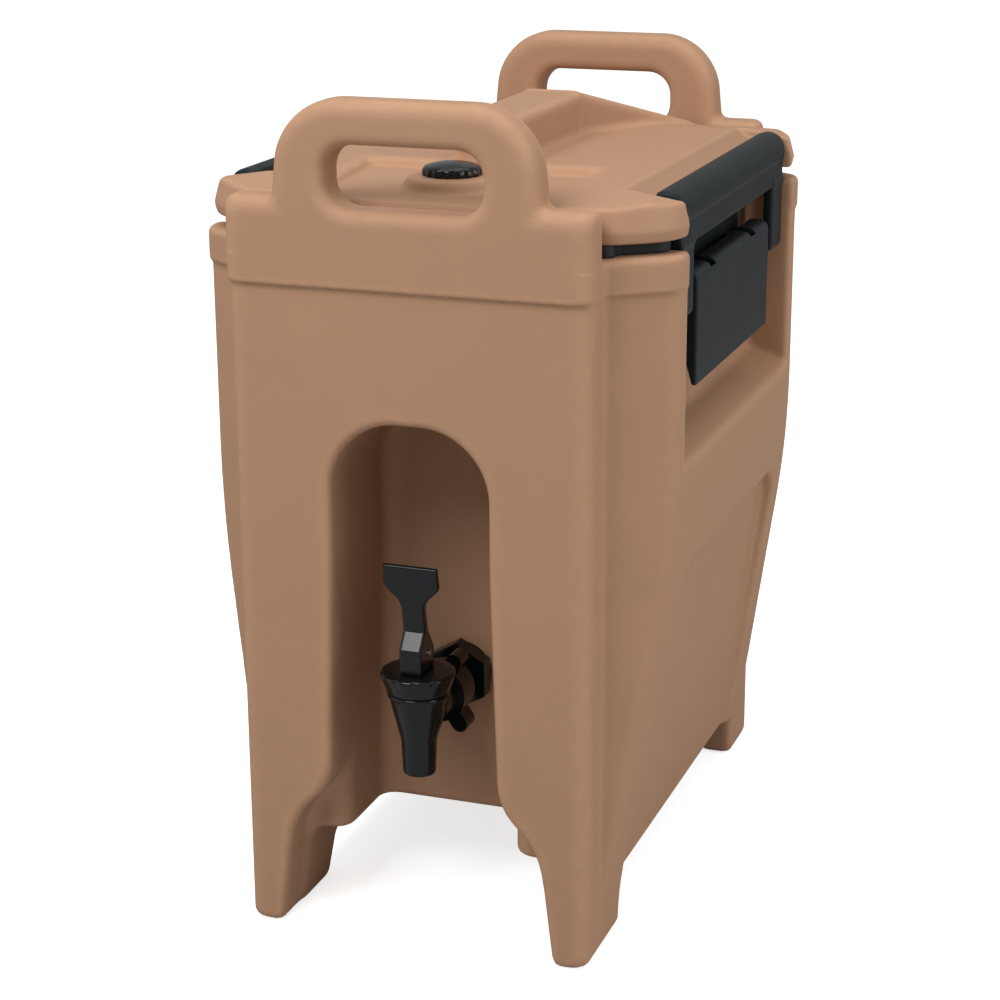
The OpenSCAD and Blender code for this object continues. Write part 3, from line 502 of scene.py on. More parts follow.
@dataclass(frozen=True)
class Plan:
    """Plan of the body at one level: half sizes of the wide part and of the deep block."""

    half_w: float
    half_d: float
    block: float
    strip_end: float
    side_end: float

    def form(self, ax: Array, ay: Array, side: Array) -> Array:
        """The deep block joined to the wide part with its cut-off corners.

        Args:
            ax: distance from the middle plane in X.
            ay: distance from the middle plane in Y.
            side: distance to the side wall.

        Returns:
            Distances to the outline.
        """
        cut = beside(ax, ay, (self.half_w, self.side_end), (self.block, self.strip_end))
        wide = soft_and(soft_and(side, cut, 6.0), ay - self.strip_end, 1.0)
        deep = soft_and(ax - self.block, ay - self.half_d, 9.0)
        return soft_or(deep, wide, 3.0)


@dataclass
class Body(Moulding):
    """Double-wall body with its handles, feet, tap bay, latch pockets and tank."""

    name: str = "body_moulding"
    body: str = "carrier"
    nodes: tuple[str, ...] = ("body_shell", "rim_band", "handle_front", "handle_rear", "base_panel",
                              "feet_right", "feet_left", "bay_liner", "tank_liner", "mouth_liner",
                              "pocket_liner_right", "pocket_liner_left")
    slot: Slot = Slot.SHELL
    finish: Finish = SHELL
    wall_plan: Plan = Plan(133.2, 180.0, 99.7, 155.99, 131.49)
    band_plan: Plan = Plan(133.8, 182.5, 100.5, 158.5, 134.1)
    band_z: float = 368.0
    rim_z: float = 387.0
    top_z: float = 465.0
    foot_x: float = 101.0
    skirt_z: float = 28.0
    taper_z: float = 225.0
    base_z: float = 50.0
    bay_back: float = -98.5
    bay_top: float = 297.0
    bay_half: float = 44.5
    bay_low_half: float = 49.0
    bay_r: float = 38.0
    pocket_x: float = 106.0
    pocket_half: float = 117.0
    pocket_z: float = 282.0
    panel_half: float = 115.0
    panel_z: float = 208.0
    tank_x: float = 78.0
    tank_front: float = -74.5
    tank_back: float = 143.5
    tank_floor: float = 100.0
    tank_step: float = 326.0
    tank_r: float = 20.0
    shoulder_z: float = 414.0
    loop_half: float = 68.5
    loop_foot: float = 300.0
    loop_lean: float = 0.098
    loop_r: float = 33.0
    handle_y: float = 169.5
    handle_half: float = 13.0
    grip_z: float = 425.5
    grip_half: float = 43.0
    grip_rise: float = 16.5
    grip_r: float = 14.0
    bay_flare: tuple[float, float] = (76.0, 221.0)
    leg_foot: tuple[float, float] = (79.0, 0.0)
    leg_knee: tuple[float, float] = (72.0, 68.0)
    leg_top: tuple[float, float] = (49.0, 87.0)
    notch_y: float = -154.5
    tunnel_foot: tuple[float, float] = (79.1, 0.0)
    tunnel_top: tuple[float, float] = (72.0, 50.0)
    gap_front: tuple[float, float] = (-110.5, -114.5)
    gap_rear: tuple[float, float] = (130.5, 134.5)
    pocket_lip: float = 272.0
    panel_foot_x: float = 98.0
    panel_head_x: float = 122.4
    panel_r: float = 28.0

    def walls(self, ax: Array, ay: Array, z: Array) -> Array:
        """Outer walls with the leaning sides, the rim band and the rounded foot edges."""
        wall, rim = self.wall_plan, self.band_plan
        leaning = beside(ax, z, (self.foot_x, self.skirt_z), (wall.half_w, self.taper_z))
        side = soft_and(ax - wall.half_w, leaning, 7.0)
        block = soft_and(wall.form(ax, ay, side), z - self.rim_z, 3.0)
        mid = 0.5 * (self.band_z + self.rim_z)
        band = soft_and(rim.form(ax, ay, ax - rim.half_w), np.abs(z - mid) - (self.rim_z - mid), 3.4)
        return soft_or(soft_and(block, -z, 6.0), band, 1.8)

    def handle(self, ax: Array, ay: Array, z: Array) -> Array:
        """Handle block with shoulders, and the loop that narrows upwards over it, with its grip opening."""
        shoulders = soft_and(ax - self.band_plan.block, z - self.shoulder_z, 7.0)
        lean = ax + self.loop_lean * (z - self.top_z)
        loop = plate(lean, z - self.loop_foot, self.loop_half, self.top_z - self.loop_foot, self.loop_r)
        face = soft_or(shoulders, loop, 5.0)
        thick = np.abs(ay - self.handle_y) - self.handle_half
        solid = soft_and(face, thick, 9.5)
        grip = plate(ax, z - self.grip_z, self.grip_half, self.grip_rise, self.grip_r)
        return soft_and(soft_cut(solid, grip, 8.0), self.band_z - z, 2.6)

    def bay(self, ax: Array, y: Array, z: Array) -> Array:
        """Arched tap bay, joined below to the notch between the front feet."""
        half = np.interp(z, self.bay_flare, (self.bay_low_half, self.bay_half))
        qx = ax - half + self.bay_r
        qz = z - self.bay_top + self.bay_r
        outer = np.hypot(np.maximum(qx, 0.0), np.maximum(qz, 0.0))
        arch = outer + np.minimum(np.maximum(qx, qz), 0.0) - self.bay_r
        hollow = soft_and(arch, y - self.bay_back, 12.0)
        legs = beside(ax, z, self.leg_foot, self.leg_knee)
        ogee = beside(ax, z, self.leg_knee, self.leg_top)
        notch = soft_and(soft_and(legs, ogee, 13.0), y - self.notch_y, 8.0)
        return soft_or(hollow, notch, 12.0)

    def under(self, ax: Array, y: Array, z: Array) -> Array:
        """Spaces under the base that leave the four feet."""
        tunnel = soft_and(beside(ax, z, self.tunnel_foot, self.tunnel_top), z - self.base_z, 10.0)
        front = beside(y, z, (self.gap_front[0], self.skirt_z), (self.gap_front[1], 0.0))
        rear = beside(y, z, (self.gap_rear[1], 0.0), (self.gap_rear[0], self.skirt_z))
        sides = soft_and(soft_and(front, rear, 1.0), z - self.skirt_z, 6.0)
        return soft_or(tunnel, sides, 5.0)

    def pocket(self, ax: Array, ay: Array, z: Array) -> Array:
        """Latch pocket with its floor falling outwards."""
        floor = beside(ax, z, (self.pocket_x, self.pocket_z), (self.wall_plan.half_w, self.pocket_lip))
        hole = soft_and(self.pocket_x - ax, floor, 6.0)
        return soft_and(hole, ay - self.pocket_half, 6.0)

    def panel(self, ax: Array, ay: Array, z: Array) -> Array:
        """Sunk panel below the pocket, deeper at its top than at its foot."""
        deep = -beside(ax, z, (self.panel_foot_x, self.skirt_z), (self.panel_head_x, self.panel_z))
        face = plate(ay, z, self.panel_half, self.panel_z, self.panel_r)
        return soft_and(deep, face, 5.0)

    def tank(self, x: Array, y: Array, z: Array) -> Array:
        """Tank: a deep well behind the bay and a wide mouth over it."""
        mid = 0.5 * (self.tank_front + self.tank_back)
        well = plate(x, y - mid, self.tank_x, self.tank_back - mid, self.tank_r)
        mouth = plate(x, y, self.tank_x, self.tank_back, self.tank_r)
        deep = soft_and(well, self.tank_floor - z, 16.0)
        wide = soft_and(mouth, self.tank_step - z, 10.0)
        return soft_or(deep, wide, 10.0)

    def form(self, x: Array, y: Array, z: Array) -> Array:
        """Walls and handles, less the bay, the pockets, the panels, the tank and the underside."""
        ax, ay = np.abs(x), np.abs(y)
        shape = np.minimum(self.walls(ax, ay, z), self.handle(ax, ay, z))
        shape = soft_cut(shape, self.bay(ax, y, z), 5.5)
        shape = soft_cut(shape, self.pocket(ax, ay, z), 4.0)
        shape = soft_cut(shape, self.panel(ax, ay, z), 5.0)
        shape = soft_cut(shape, self.under(ax, y, z), 4.5)
        return soft_cut(shape, self.tank(x, y, z), 5.0)

    def lines(self) -> tuple[Array, Array, Array]:
        """Grid that is fine at the rim, handles, feet and latch pockets."""
        xs = steps((-137.0, 137.0, 3.0))
        ys = steps((-185.5, -150.0, 1.9), (-150.0, -86.0, 3.2), (-86.0, 86.0, 6.0), (86.0, 150.0, 3.2),
                   (150.0, 185.5, 1.9))
        zs = steps((-3.0, 110.0, 3.0), (110.0, 262.0, 5.0), (262.0, 362.0, 3.0), (362.0, 392.0, 1.4),
                   (392.0, 468.0, 2.2))
        return xs, ys, zs


@dataclass
class Lid(Moulding):
    """Crowned lid with its ridge, vent well, hook notches and plug."""

    name: str = "lid_moulding"
    body: str = "lid"
    nodes: tuple[str, ...] = ("lid_shell",)
    slot: Slot = Slot.SHELL
    finish: Finish = SHELL
    half_w: float = 133.0
    half_d: float = 155.5
    low_z: float = 394.0
    lip_z: float = 400.0
    edge_z: float = 412.0
    top_z: float = 417.0
    ridge_z: float = 442.0
    ridge_half: float = 19.0
    ridge_end: float = 59.0
    tail_end: float = 143.5
    tail_half: float = 61.0
    vent_y: float = VENT_Y
    well_z: float = 412.0
    seat_z: float = 418.0
    notch_half: float = 115.5
    notch_z: float = 408.0
    notch_rise: float = 3.4
    notch_foot_x: float = 103.0
    notch_head: tuple[float, float] = (93.0, 422.0)
    cut_x: float = 116.7
    corner_side: float = 132.25
    corner_end: float = 101.2
    edge_lean: float = 0.25
    edge_in: float = 3.0
    crown_side: float = 32.0
    crown_end: float = 42.0
    tail_lap: float = 3.0
    well_front: tuple[float, float] = (56.0, -156.5)
    well_back: tuple[float, float] = (66.0, -60.0)
    boss_r: float = 28.0
    boss_z: float = 410.0
    boss_slope: float = 0.625
    boss_low: float = 405.0
    bore_r: float = 6.1
    plug_half_w: float = 76.0
    plug_half_d: float = 141.5
    plug_r: float = 18.0
    plug_z: float = 381.5
    plug_rise: float = 14.5

    def slab(self, ax: Array, ay: Array, z: Array) -> Array:
        """Plate of the lid with cut-off corners, its edge leaning in from a lip, its top crowned."""
        slant = beside(ax, ay, (self.half_w, self.corner_side), (self.corner_end, self.half_d))
        rim = soft_and(soft_and(ax - self.half_w, slant, 14.0), ay - self.half_d, 5.0)
        edge = 0.97 * (rim + self.edge_lean * np.sqrt((z - self.lip_z) ** 2 + 1.0) - 0.1)
        rise = self.top_z - self.edge_z
        crown_x = self.edge_z + rise * np.clip((self.half_w - self.edge_in - ax) / self.crown_side, 0.0, 1.0)
        crown_y = self.edge_z + rise * np.clip((self.half_d - self.edge_in - ay) / self.crown_end, 0.0, 1.0)
        top = z - np.minimum(crown_x, crown_y)
        return soft_and(soft_and(edge, top, 2.0), self.low_z - z, 1.8)

    def ridge(self, ax: Array, y: Array, z: Array) -> Array:
        """Level ridge, and its tail that falls and spreads to the rear."""
        run = self.tail_end - self.ridge_end
        bar = soft_and(soft_and(ax - self.ridge_half, np.abs(y) - self.ridge_end, 7.0), z - self.ridge_z, 6.0)
        spread = beside(ax, y, (self.ridge_half, self.ridge_end), (self.tail_half, self.tail_end))
        fall = -beside(y, z, (self.ridge_end, self.ridge_z), (self.ridge_end + run, self.top_z - 1.0))
        ends = soft_and(self.ridge_end - self.tail_lap - y, y - self.tail_end, 1.0)
        tail = soft_and(soft_and(spread, fall, 5.0), ends, 3.0)
        return soft_and(soft_or(bar, tail, 3.0), self.low_z + 8.0 - z, 1.0)

    def hook_notch(self, ax: Array, ay: Array, z: Array) -> Array:
        """Notch that the latch hook lies in, with its floor falling outwards."""
        foot = (self.notch_foot_x, self.notch_z + self.notch_rise)
        floor = beside(ax, z, foot, (self.cut_x, self.notch_z))
        wall = beside(ax, z, self.notch_head, foot)
        seat = soft_and(floor, wall, 3.0)
        return soft_and(np.minimum(seat, self.cut_x - ax), ay - self.notch_half, 4.0)

    def form(self, x: Array, y: Array, z: Array) -> Array:
        """Slab with its well, ridge, boss and plug, less the notches and the vent's bore."""
        ax, ay = np.abs(x), np.abs(y)
        well_side = beside(ax, y, self.well_front, self.well_back)
        well = soft_and(soft_and(well_side, y - self.well_back[1], 9.0), self.well_z - z, 3.0)
        shape = soft_cut(self.slab(ax, ay, z), well, 8.0)
        shape = soft_or(shape, self.ridge(ax, y, z), 6.0)
        reach = np.hypot(x, y - self.vent_y)
        cone = 0.85 * (reach - self.boss_r + self.boss_slope * (z - self.boss_z))
        boss = soft_and(soft_and(cone, z - self.seat_z, 2.5), self.boss_low - z, 1.0)
        shape = soft_or(shape, boss, 3.0)
        plug_plan = plate(x, y, self.plug_half_w, self.plug_half_d, self.plug_r)
        plug = soft_and(plug_plan, np.abs(z - self.plug_z) - self.plug_rise, 5.0)
        shape = np.minimum(shape, plug)
        shape = soft_cut(shape, self.hook_notch(ax, ay, z), 1.6)
        return soft_cut(shape, reach - self.bore_r, 0.8)

    def lines(self) -> tuple[Array, Array, Array]:
        """Grid that is fine through the lid's thickness and near the vent."""
        xs = steps((-135.0, -88.0, 1.7), (-88.0, -30.0, 2.9), (-30.0, 30.0, 1.6), (30.0, 88.0, 2.9),
                   (88.0, 135.0, 1.7))
        ys = steps((-158.0, -78.0, 1.6), (-78.0, 104.0, 3.2), (104.0, 158.0, 1.8))
        zs = steps((365.0, 392.0, 3.0), (392.0, 422.0, 1.3), (422.0, 444.0, 1.8))
        return xs, ys, zs


@dataclass
class Gasket(Moulding):
    """Lid gasket: a ring over the rim, with a tab over each corner of the body."""

    name: str = "gasket_ring"
    body: str = "lid"
    nodes: tuple[str, ...] = ("lid_gasket",)
    slot: Slot = Slot.SEAL
    finish: Finish = SEAL
    half_w: float = 102.5
    half_d: float = 153.0
    width: float = 9.0
    low_z: float = 387.2
    top_z: float = 394.3
    tab_w: float = 124.0
    tab_y: float = 119.5
    tab_side: float = 127.7
    tab_end: tuple[float, float] = (95.9, 148.2)
    tab_lap: float = 4.0
    corner_r: float = 6.0
    bore_r: float = 2.0

    def form(self, x: Array, y: Array, z: Array) -> Array:
        """Ring and tabs in plan, carried up through the gap."""
        ax, ay = np.abs(x), np.abs(y)
        bore = plate(x, y, self.half_w - self.width, self.half_d - self.width, self.bore_r)
        ring = np.maximum(plate(x, y, self.half_w, self.half_d, self.corner_r), -bore)
        slant = beside(ax, ay, (self.tab_w, self.tab_side), self.tab_end)
        tab = soft_and(soft_and(slant, ax - self.tab_w, 4.0), self.tab_y - ay, 1.5)
        tab = np.maximum(tab, self.half_w - self.tab_lap - ax)
        rise = np.maximum(self.low_z - z, z - self.top_z)
        return soft_and(np.minimum(ring, tab), rise, 0.8)

    def lines(self) -> tuple[Array, Array, Array]:
        """Grid that is fine across the ring and its tabs."""
        xs = steps((-131.0, -90.0, 2.0), (-90.0, 90.0, 9.0), (90.0, 131.0, 2.0))
        ys = steps((-155.5, -116.0, 1.8), (-116.0, 116.0, 8.0), (116.0, 155.5, 1.8))
        return xs, ys, steps((385.5, 396.0, 0.9))


@dataclass
class Bail(Moulding):
    """Latch bail: a cross bar with its hook over the lid, and two rails down to the pivot."""

    name: str = "latch_bail_piece"
    body: str = "bail"
    nodes: tuple[str, ...] = ("latch_bail",)
    slot: Slot = Slot.LATCH
    finish: Finish = LATCH
    side: Side = Side.RIGHT
    mid_x: float = 122.5
    half_t: float = 5.5
    tip_x: float = 113.0
    top_z: float = 415.0
    bar_low: float = 386.5
    under_z: float = 408.3
    half_len: float = 113.0
    rail_w: float = 25.0
    rail_low: float = 344.0
    rail_t: float = 6.0
    knuckle_z: float = 358.0
    under_rise: float = 2.2
    rail_rise: float = 4.5
    rail_lap: float = 3.0
    nose_in: float = 2.6

    def form(self, x: Array, y: Array, z: Array) -> Array:
        """Bar and hook in section, carried along the lid, joined to the two rails."""
        x, ay = x * self.side.value, np.abs(y)
        inner, out = self.mid_x - self.half_t, self.mid_x + self.half_t
        mid = 0.5 * (self.top_z + self.bar_low)
        bar = plate(x - self.mid_x, z - mid, self.half_t, self.top_z - mid, 0.8)
        under = beside(x, z, (self.tip_x, self.under_z + self.under_rise), (inner, self.under_z))
        hook = soft_and(soft_and(z - self.top_z, under, 1.2), soft_and(self.tip_x - x, x - out, 1.0), 1.6)
        top = soft_or(bar, hook, 4.0)
        nose = (x - out + z - self.top_z) / math.sqrt(2.0) + self.nose_in
        top = soft_and(soft_and(top, nose, 4.0), ay - self.half_len, 3.0)
        mid_y = self.half_len - 0.5 * self.rail_w
        back = np.interp(z, (self.knuckle_z, self.knuckle_z + self.rail_t), (inner, out - self.rail_t))
        depth = soft_and(x - out, 0.8 * (back - x), 1.2)
        rail = soft_and(depth, np.abs(ay - mid_y) - 0.5 * self.rail_w, 2.2)
        low = beside(x, z, (inner, self.rail_low), (out, self.rail_low + self.rail_rise))
        rail = soft_and(rail, soft_and(low, z - self.bar_low - self.rail_lap, 1.0), 2.6)
        return soft_or(top, rail, 3.0)

    def lines(self) -> tuple[Array, Array, Array]:
        """Grid that is fine across the section and coarse along the bar."""
        xs = steps((106.0, 130.0, 0.95)) * self.side.value
        ys = steps((-115.0, -84.0, 1.2), (-84.0, 84.0, 4.0), (84.0, 115.0, 1.2))
        zs = steps((342.0, 384.0, 1.8), (384.0, 418.0, 1.0))
        return np.sort(xs), ys, zs


@dataclass
class LatchLever(Moulding):
    """Latch lever: a wedge hung on its pin, thick above and thin at its free edge."""

    name: str = "latch_lever_piece"
    body: str = "lever"
    nodes: tuple[str, ...] = ("latch_lever",)
    slot: Slot = Slot.LATCH
    finish: Finish = LATCH
    side: Side = Side.RIGHT
    face_x: float = 128.0
    back_x: float = 115.0
    slot_x: float = 126.8
    slot_z: float = 357.5
    lip_z: float = 366.8
    low_z: float = 306.0
    top_z: float = 369.0
    half_w: float = 80.5
    ear_y: float = 45.0
    ear_half: float = 5.3
    heel_z: float = 342.0
    top_in: float = 1.0
    edge_t: float = 2.6

    def form(self, x: Array, y: Array, z: Array) -> Array:
        """Wedge section carried along the lever, its top rolled back, less the slots for the ears."""
        x, ay = x * self.side.value, np.abs(y)
        back_top = beside(x, z, (self.back_x + self.top_in, self.top_z), (self.back_x, self.heel_z))
        back_low = beside(x, z, (self.back_x, self.heel_z), (self.face_x - self.edge_t, self.low_z))
        front = soft_and(x - self.face_x, z - self.top_z, 7.0)
        wedge = soft_and(front, soft_and(back_top, back_low, 4.0), 2.0)
        wedge = soft_and(wedge, self.low_z - z, 1.2)
        shape = soft_and(wedge, ay - self.half_w, 1.8)
        open_z = np.minimum(np.maximum(self.slot_z - z, x - self.slot_x), self.lip_z - z)
        slot = soft_and(np.abs(ay - self.ear_y) - self.ear_half, open_z, 0.6)
        return soft_cut(shape, slot, 0.8)

    def lines(self) -> tuple[Array, Array, Array]:
        """Grid that is fine across the section and at the ear slots."""
        xs = steps((113.0, 130.0, 0.95)) * self.side.value
        ys = steps((-82.5, -74.0, 1.2), (-74.0, -53.0, 4.0), (-53.0, -37.0, 1.1), (-37.0, 37.0, 5.0),
                   (37.0, 53.0, 1.1), (53.0, 74.0, 4.0), (74.0, 82.5, 1.2))
        zs = steps((304.0, 312.0, 1.0), (312.0, 350.0, 2.4), (350.0, 371.0, 1.0))
        return np.sort(xs), ys, zs


@dataclass
class Latch:
    """One draw latch: its lever and bail, on the body's right or left."""

    side: Side

    def build(self) -> list[bpy.types.Object]:
        """Builds the lever and the bail.

        Returns:
            Both pieces.
        """
        tag = self.side.tag
        lever = LatchLever(name=f"lever_piece_{tag}", body=f"lever_{tag}", nodes=(f"latch_lever_{tag}",),
                           side=self.side)
        bail = Bail(name=f"bail_piece_{tag}", body=f"bail_{tag}", nodes=(f"latch_bail_{tag}",),
                    side=self.side)
        return [lever.build(), bail.build()]


@dataclass
class VentCap(Moulding):
    """Low round vent knob with finger flutes."""

    name: str = "vent_knob"
    body: str = "vent"
    nodes: tuple[str, ...] = ("vent_cap",)
    slot: Slot = Slot.TAP
    finish: Finish = TAP
    mid_y: float = VENT_Y
    base_z: float = 418.3
    height: float = 7.0
    radius: float = 16.2
    flutes: int = 16
    flute_r: float = 1.8
    flute_out: float = 1.2
    crown: float = 0.011

    def form(self, x: Array, y: Array, z: Array) -> Array:
        """Crowned disc less a ring of round flutes, found by folding the angle into one sector."""
        v = y - self.mid_y
        reach = np.hypot(x, v)
        part = 2.0 * math.pi / self.flutes
        turn = np.mod(np.arctan2(v, x) + 0.5 * part, part) - 0.5 * part
        fall = self.base_z + self.height - self.crown * reach * reach
        knob = soft_and(soft_and(reach - self.radius, z - fall, 3.0), self.base_z - z, 1.0)
        across = reach * np.cos(turn) - self.radius - self.flute_out
        flute = np.hypot(across, reach * np.sin(turn)) - self.flute_r
        return soft_cut(knob, flute, 1.2)

    def lines(self) -> tuple[Array, Array, Array]:
        """Even fine grid."""
        reach = self.radius + 1.5
        return (steps((-reach, reach, 0.7)), steps((self.mid_y - reach, self.mid_y + reach, 0.7)),
                steps((self.base_z - 1.0, self.base_z + self.height + 1.0, 0.6)))


@dataclass
class TapBody(Moulding):
    """Tap body: a straight spout that opens into a funnel, with its inlet boss."""

    name: str = "tap_body_piece"
    body: str = "carrier"
    nodes: tuple[str, ...] = ("faucet_body",)
    slot: Slot = Slot.TAP
    finish: Finish = TAP
    mid_y: float = TAP_Y
    tip_z: float = 99.0
    top_z: float = 147.5
    shank_z: float = 134.0
    inlet_r: float = 12.0
    inlet_len: float = 38.0
    turned_z: tuple[float, ...] = (99.0, 118.0, 120.5, 144.5, 145.1, 147.5)
    turned_r: tuple[float, ...] = (9.0, 9.8, 10.3, 16.1, 17.0, 17.0)
    bore_r: float = 6.0
    bore_z: float = 127.0

    def form(self, x: Array, y: Array, z: Array) -> Array:
        """Turned spout and funnel, joined to the inlet boss, less the bore of the spout."""
        v = y - self.mid_y
        reach = np.hypot(x, v)
        radius = np.interp(z, self.turned_z, self.turned_r)
        mid = 0.5 * (self.tip_z + self.top_z)
        spout = soft_and(0.965 * (reach - radius), np.abs(z - mid) - (self.top_z - mid), 2.0)
        ends = soft_and(-v, v - self.inlet_len, 1.0)
        inlet = soft_and(np.hypot(x, z - self.shank_z) - self.inlet_r, ends, 1.5)
        shape = soft_or(spout, inlet, 4.0)
        return soft_cut(shape, soft_and(reach - self.bore_r, z - self.bore_z, 1.0), 1.4)

    def lines(self) -> tuple[Array, Array, Array]:
        """Even grid over the spout and the inlet."""
        return (steps((-19.5, 19.5, 0.9)), steps((self.mid_y - 19.5, self.mid_y + 40.0, 0.9)),
                steps((97.0, 149.5, 0.9)))


@dataclass
class TapBonnet(Moulding):
    """Flared cap on the tap body, with grip notches round its rim."""

    name: str = "tap_bonnet_piece"
    body: str = "carrier"
    nodes: tuple[str, ...] = ("faucet_bonnet",)
    slot: Slot = Slot.TAP
    finish: Finish = TAP
    mid_y: float = TAP_Y
    low_z: float = 147.5
    top_z: float = 159.5
    radius: float = 20.5
    notches: int = 12
    notch_r: float = 2.4
    notch_out: float = 1.6
    notch_z: float = 153.5
    flare_z: tuple[float, ...] = (147.5, 148.5, 157.1)
    low_r: float = 17.0
    step_r: float = 17.6
    crown_r: float = 14.5
    crown_fall: float = 0.1

    def form(self, x: Array, y: Array, z: Array) -> Array:
        """Turned flare with a slightly falling top, less the rim notches."""
        v = y - self.mid_y
        reach = np.hypot(x, v)
        radius = np.interp(z, self.flare_z, (self.low_r, self.step_r, self.radius))
        top = z - self.top_z + self.crown_fall * np.maximum(reach - self.crown_r, 0.0)
        shape = soft_and(soft_and(reach - radius, top, 1.6), self.low_z - z, 1.0)
        part = 2.0 * math.pi / self.notches
        turn = np.mod(np.arctan2(v, x), part) - 0.5 * part
        across = reach * np.cos(turn) - self.radius - self.notch_out
        notch = np.hypot(across, reach * np.sin(turn)) - self.notch_r
        return soft_cut(shape, soft_and(notch, self.notch_z - z, 1.0), 0.8)

    def lines(self) -> tuple[Array, Array, Array]:
        """Even fine grid."""
        return (steps((-22.0, 22.0, 0.7)), steps((self.mid_y - 22.0, self.mid_y + 22.0, 0.7)),
                steps((146.0, 161.0, 0.7)))


@dataclass
class TapLever(Moulding):
    """Tap lever: a heel on the bonnet, a slanted shoulder, a leaning neck and a broad paddle."""

    name: str = "tap_lever_piece"
    body: str = "tap_lever"
    nodes: tuple[str, ...] = ("faucet_lever",)
    slot: Slot = Slot.TAP
    finish: Finish = TAP
    mid_y: float = TAP_Y
    low_z: float = 159.8
    heel_z: float = 173.8
    neck_z: float = 182.5
    flare_z: float = 199.5
    paddle_z: float = 208.0
    top_z: float = 221.0
    toe_reach: float = 12.0
    heel_reach: float = 9.0
    neck_reach: float = 5.5
    paddle_reach: float = 11.5
    neck_t: float = 6.5
    paddle_t: float = 4.0
    neck_half: float = 6.25
    paddle_half: float = 15.5
    heel_drop: float = 3.0

    def form(self, x: Array, y: Array, z: Array) -> Array:
        """Neck and paddle seen from the front, met by the heel, neck and paddle seen from the side."""
        ax, v = np.abs(x), y - self.mid_y
        flare = beside(ax, z, (self.neck_half, self.flare_z), (self.paddle_half, self.paddle_z))
        paddle = soft_and(ax - self.paddle_half, flare, 1.5)
        front = soft_and(soft_or(ax - self.neck_half, paddle, 4.0), z - self.top_z, 0.9)
        fore = np.interp(z, (self.heel_z, self.neck_z, self.top_z),
                         (-self.toe_reach, -self.neck_reach, -self.paddle_reach))
        back = (self.heel_reach, self.neck_t - self.neck_reach, self.paddle_t - self.paddle_reach)
        rear = np.interp(z, (self.heel_z - self.heel_drop, self.neck_z, self.top_z), back)
        thick = soft_and(0.9 * (fore - v), 0.85 * (v - rear), 1.0)
        return soft_and(soft_and(front, thick, 1.6), self.low_z - z, 1.2)

    def lines(self) -> tuple[Array, Array, Array]:
        """Even fine grid."""
        return (steps((-17.0, 17.0, 0.7)), steps((self.mid_y - 13.5, self.mid_y + 10.5, 0.6)),
                steps((158.5, 222.5, 0.7)))


@dataclass
class StemSpring:
    """Return spring of the tap: one coil of round wire."""

    name: str = "return_coil"
    node: str = "stem_spring"
    joint: str = "tap_lever_pull"
    mid_y: float = TAP_Y
    coil_r: float = 7.0
    wire_r: float = 0.8
    turns: int = 6
    rings: int = 36
    lift: float = 3.0

    def coil(self, low: float, high: float) -> tuple[Array, Array]:
        """Points and normals of the wire, eight to a ring.

        At angle a of the turn and b of the wire, r = coil_r + wire_r cos b, and the point is
        (r cos a, mid_y + r sin a, z + wire_r sin b), where z rises evenly with a.

        Args:
            low: lowest height of the spring.
            high: greatest height of the spring.

        Returns:
            The points and their normals.
        """
        count = self.turns * self.rings + 1
        a = np.linspace(0.0, 2.0 * math.pi * self.turns, count)[:, None]
        b = np.linspace(0.0, 2.0 * math.pi, WIRE_SIDES, endpoint=False)[None, :]
        z = np.linspace(low + self.wire_r, high - self.wire_r, count)[:, None]
        r = self.coil_r + self.wire_r * np.cos(b)
        p = np.stack((r * np.cos(a), self.mid_y + r * np.sin(a), z + self.wire_r * np.sin(b)), axis=-1)
        normal = np.stack((np.cos(b) * np.cos(a), np.cos(b) * np.sin(a), np.sin(b) + 0.0 * a), axis=-1)
        return p.reshape(-1, 3), normal.reshape(-1, 3)

    def faces(self) -> Array:
        """Quads of the wire's side, and three at each end."""
        last = WIRE_SIDES * self.turns * self.rings
        ring = np.arange(0, last, WIRE_SIDES)[:, None]
        onward = ring + WIRE_SIDES
        k = np.arange(WIRE_SIDES)[None, :]
        after = (k + 1) % WIRE_SIDES
        side = np.stack((ring + k, onward + k, onward + after, ring + after), axis=-1).reshape(-1, 4)
        cap = np.array([[0, 1, 2, 3], [0, 3, 4, 7], [4, 5, 6, 7]])
        return np.vstack((side, cap, cap[:, ::-1] + last))

    def build(self) -> bpy.types.Object:
        """Sweeps the wire over the height of the spring's node.

        Returns:
            The finished piece.
        """
        low, high = (MM_PER_M * corner.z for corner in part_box(self.node))
        p, normal = self.coil(low, high)
        piece = make_piece(self.name, p, self.faces(), normal, np.zeros(len(p)))
        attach(piece, "carrier")
        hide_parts(self.node)
        piece.data.materials.append(STEEL.material())
        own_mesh(piece)
        log.info("%s: %d points", piece.name, len(p))
        return piece


SLOT_FINISH: dict[Slot, Finish] = {
    Slot.SHELL: SHELL, Slot.LATCH: LATCH, Slot.TAP: TAP,
    Slot.SEAL: SEAL, Slot.FOAM: FOAM, Slot.STEEL: STEEL,
}


def dress_nodes() -> None:
    """Gives every CAD node that stays in view the finish of its material slot."""
    for part in frame["record"]["subparts"]:
        node = frame["nodes"][part["node"]]
        finish = SLOT_FINISH[Slot(part["material_slot"])]
        for place in node.material_slots:
            place.material = finish.material()
        log.info("%s: %s", part["node"], finish.name)


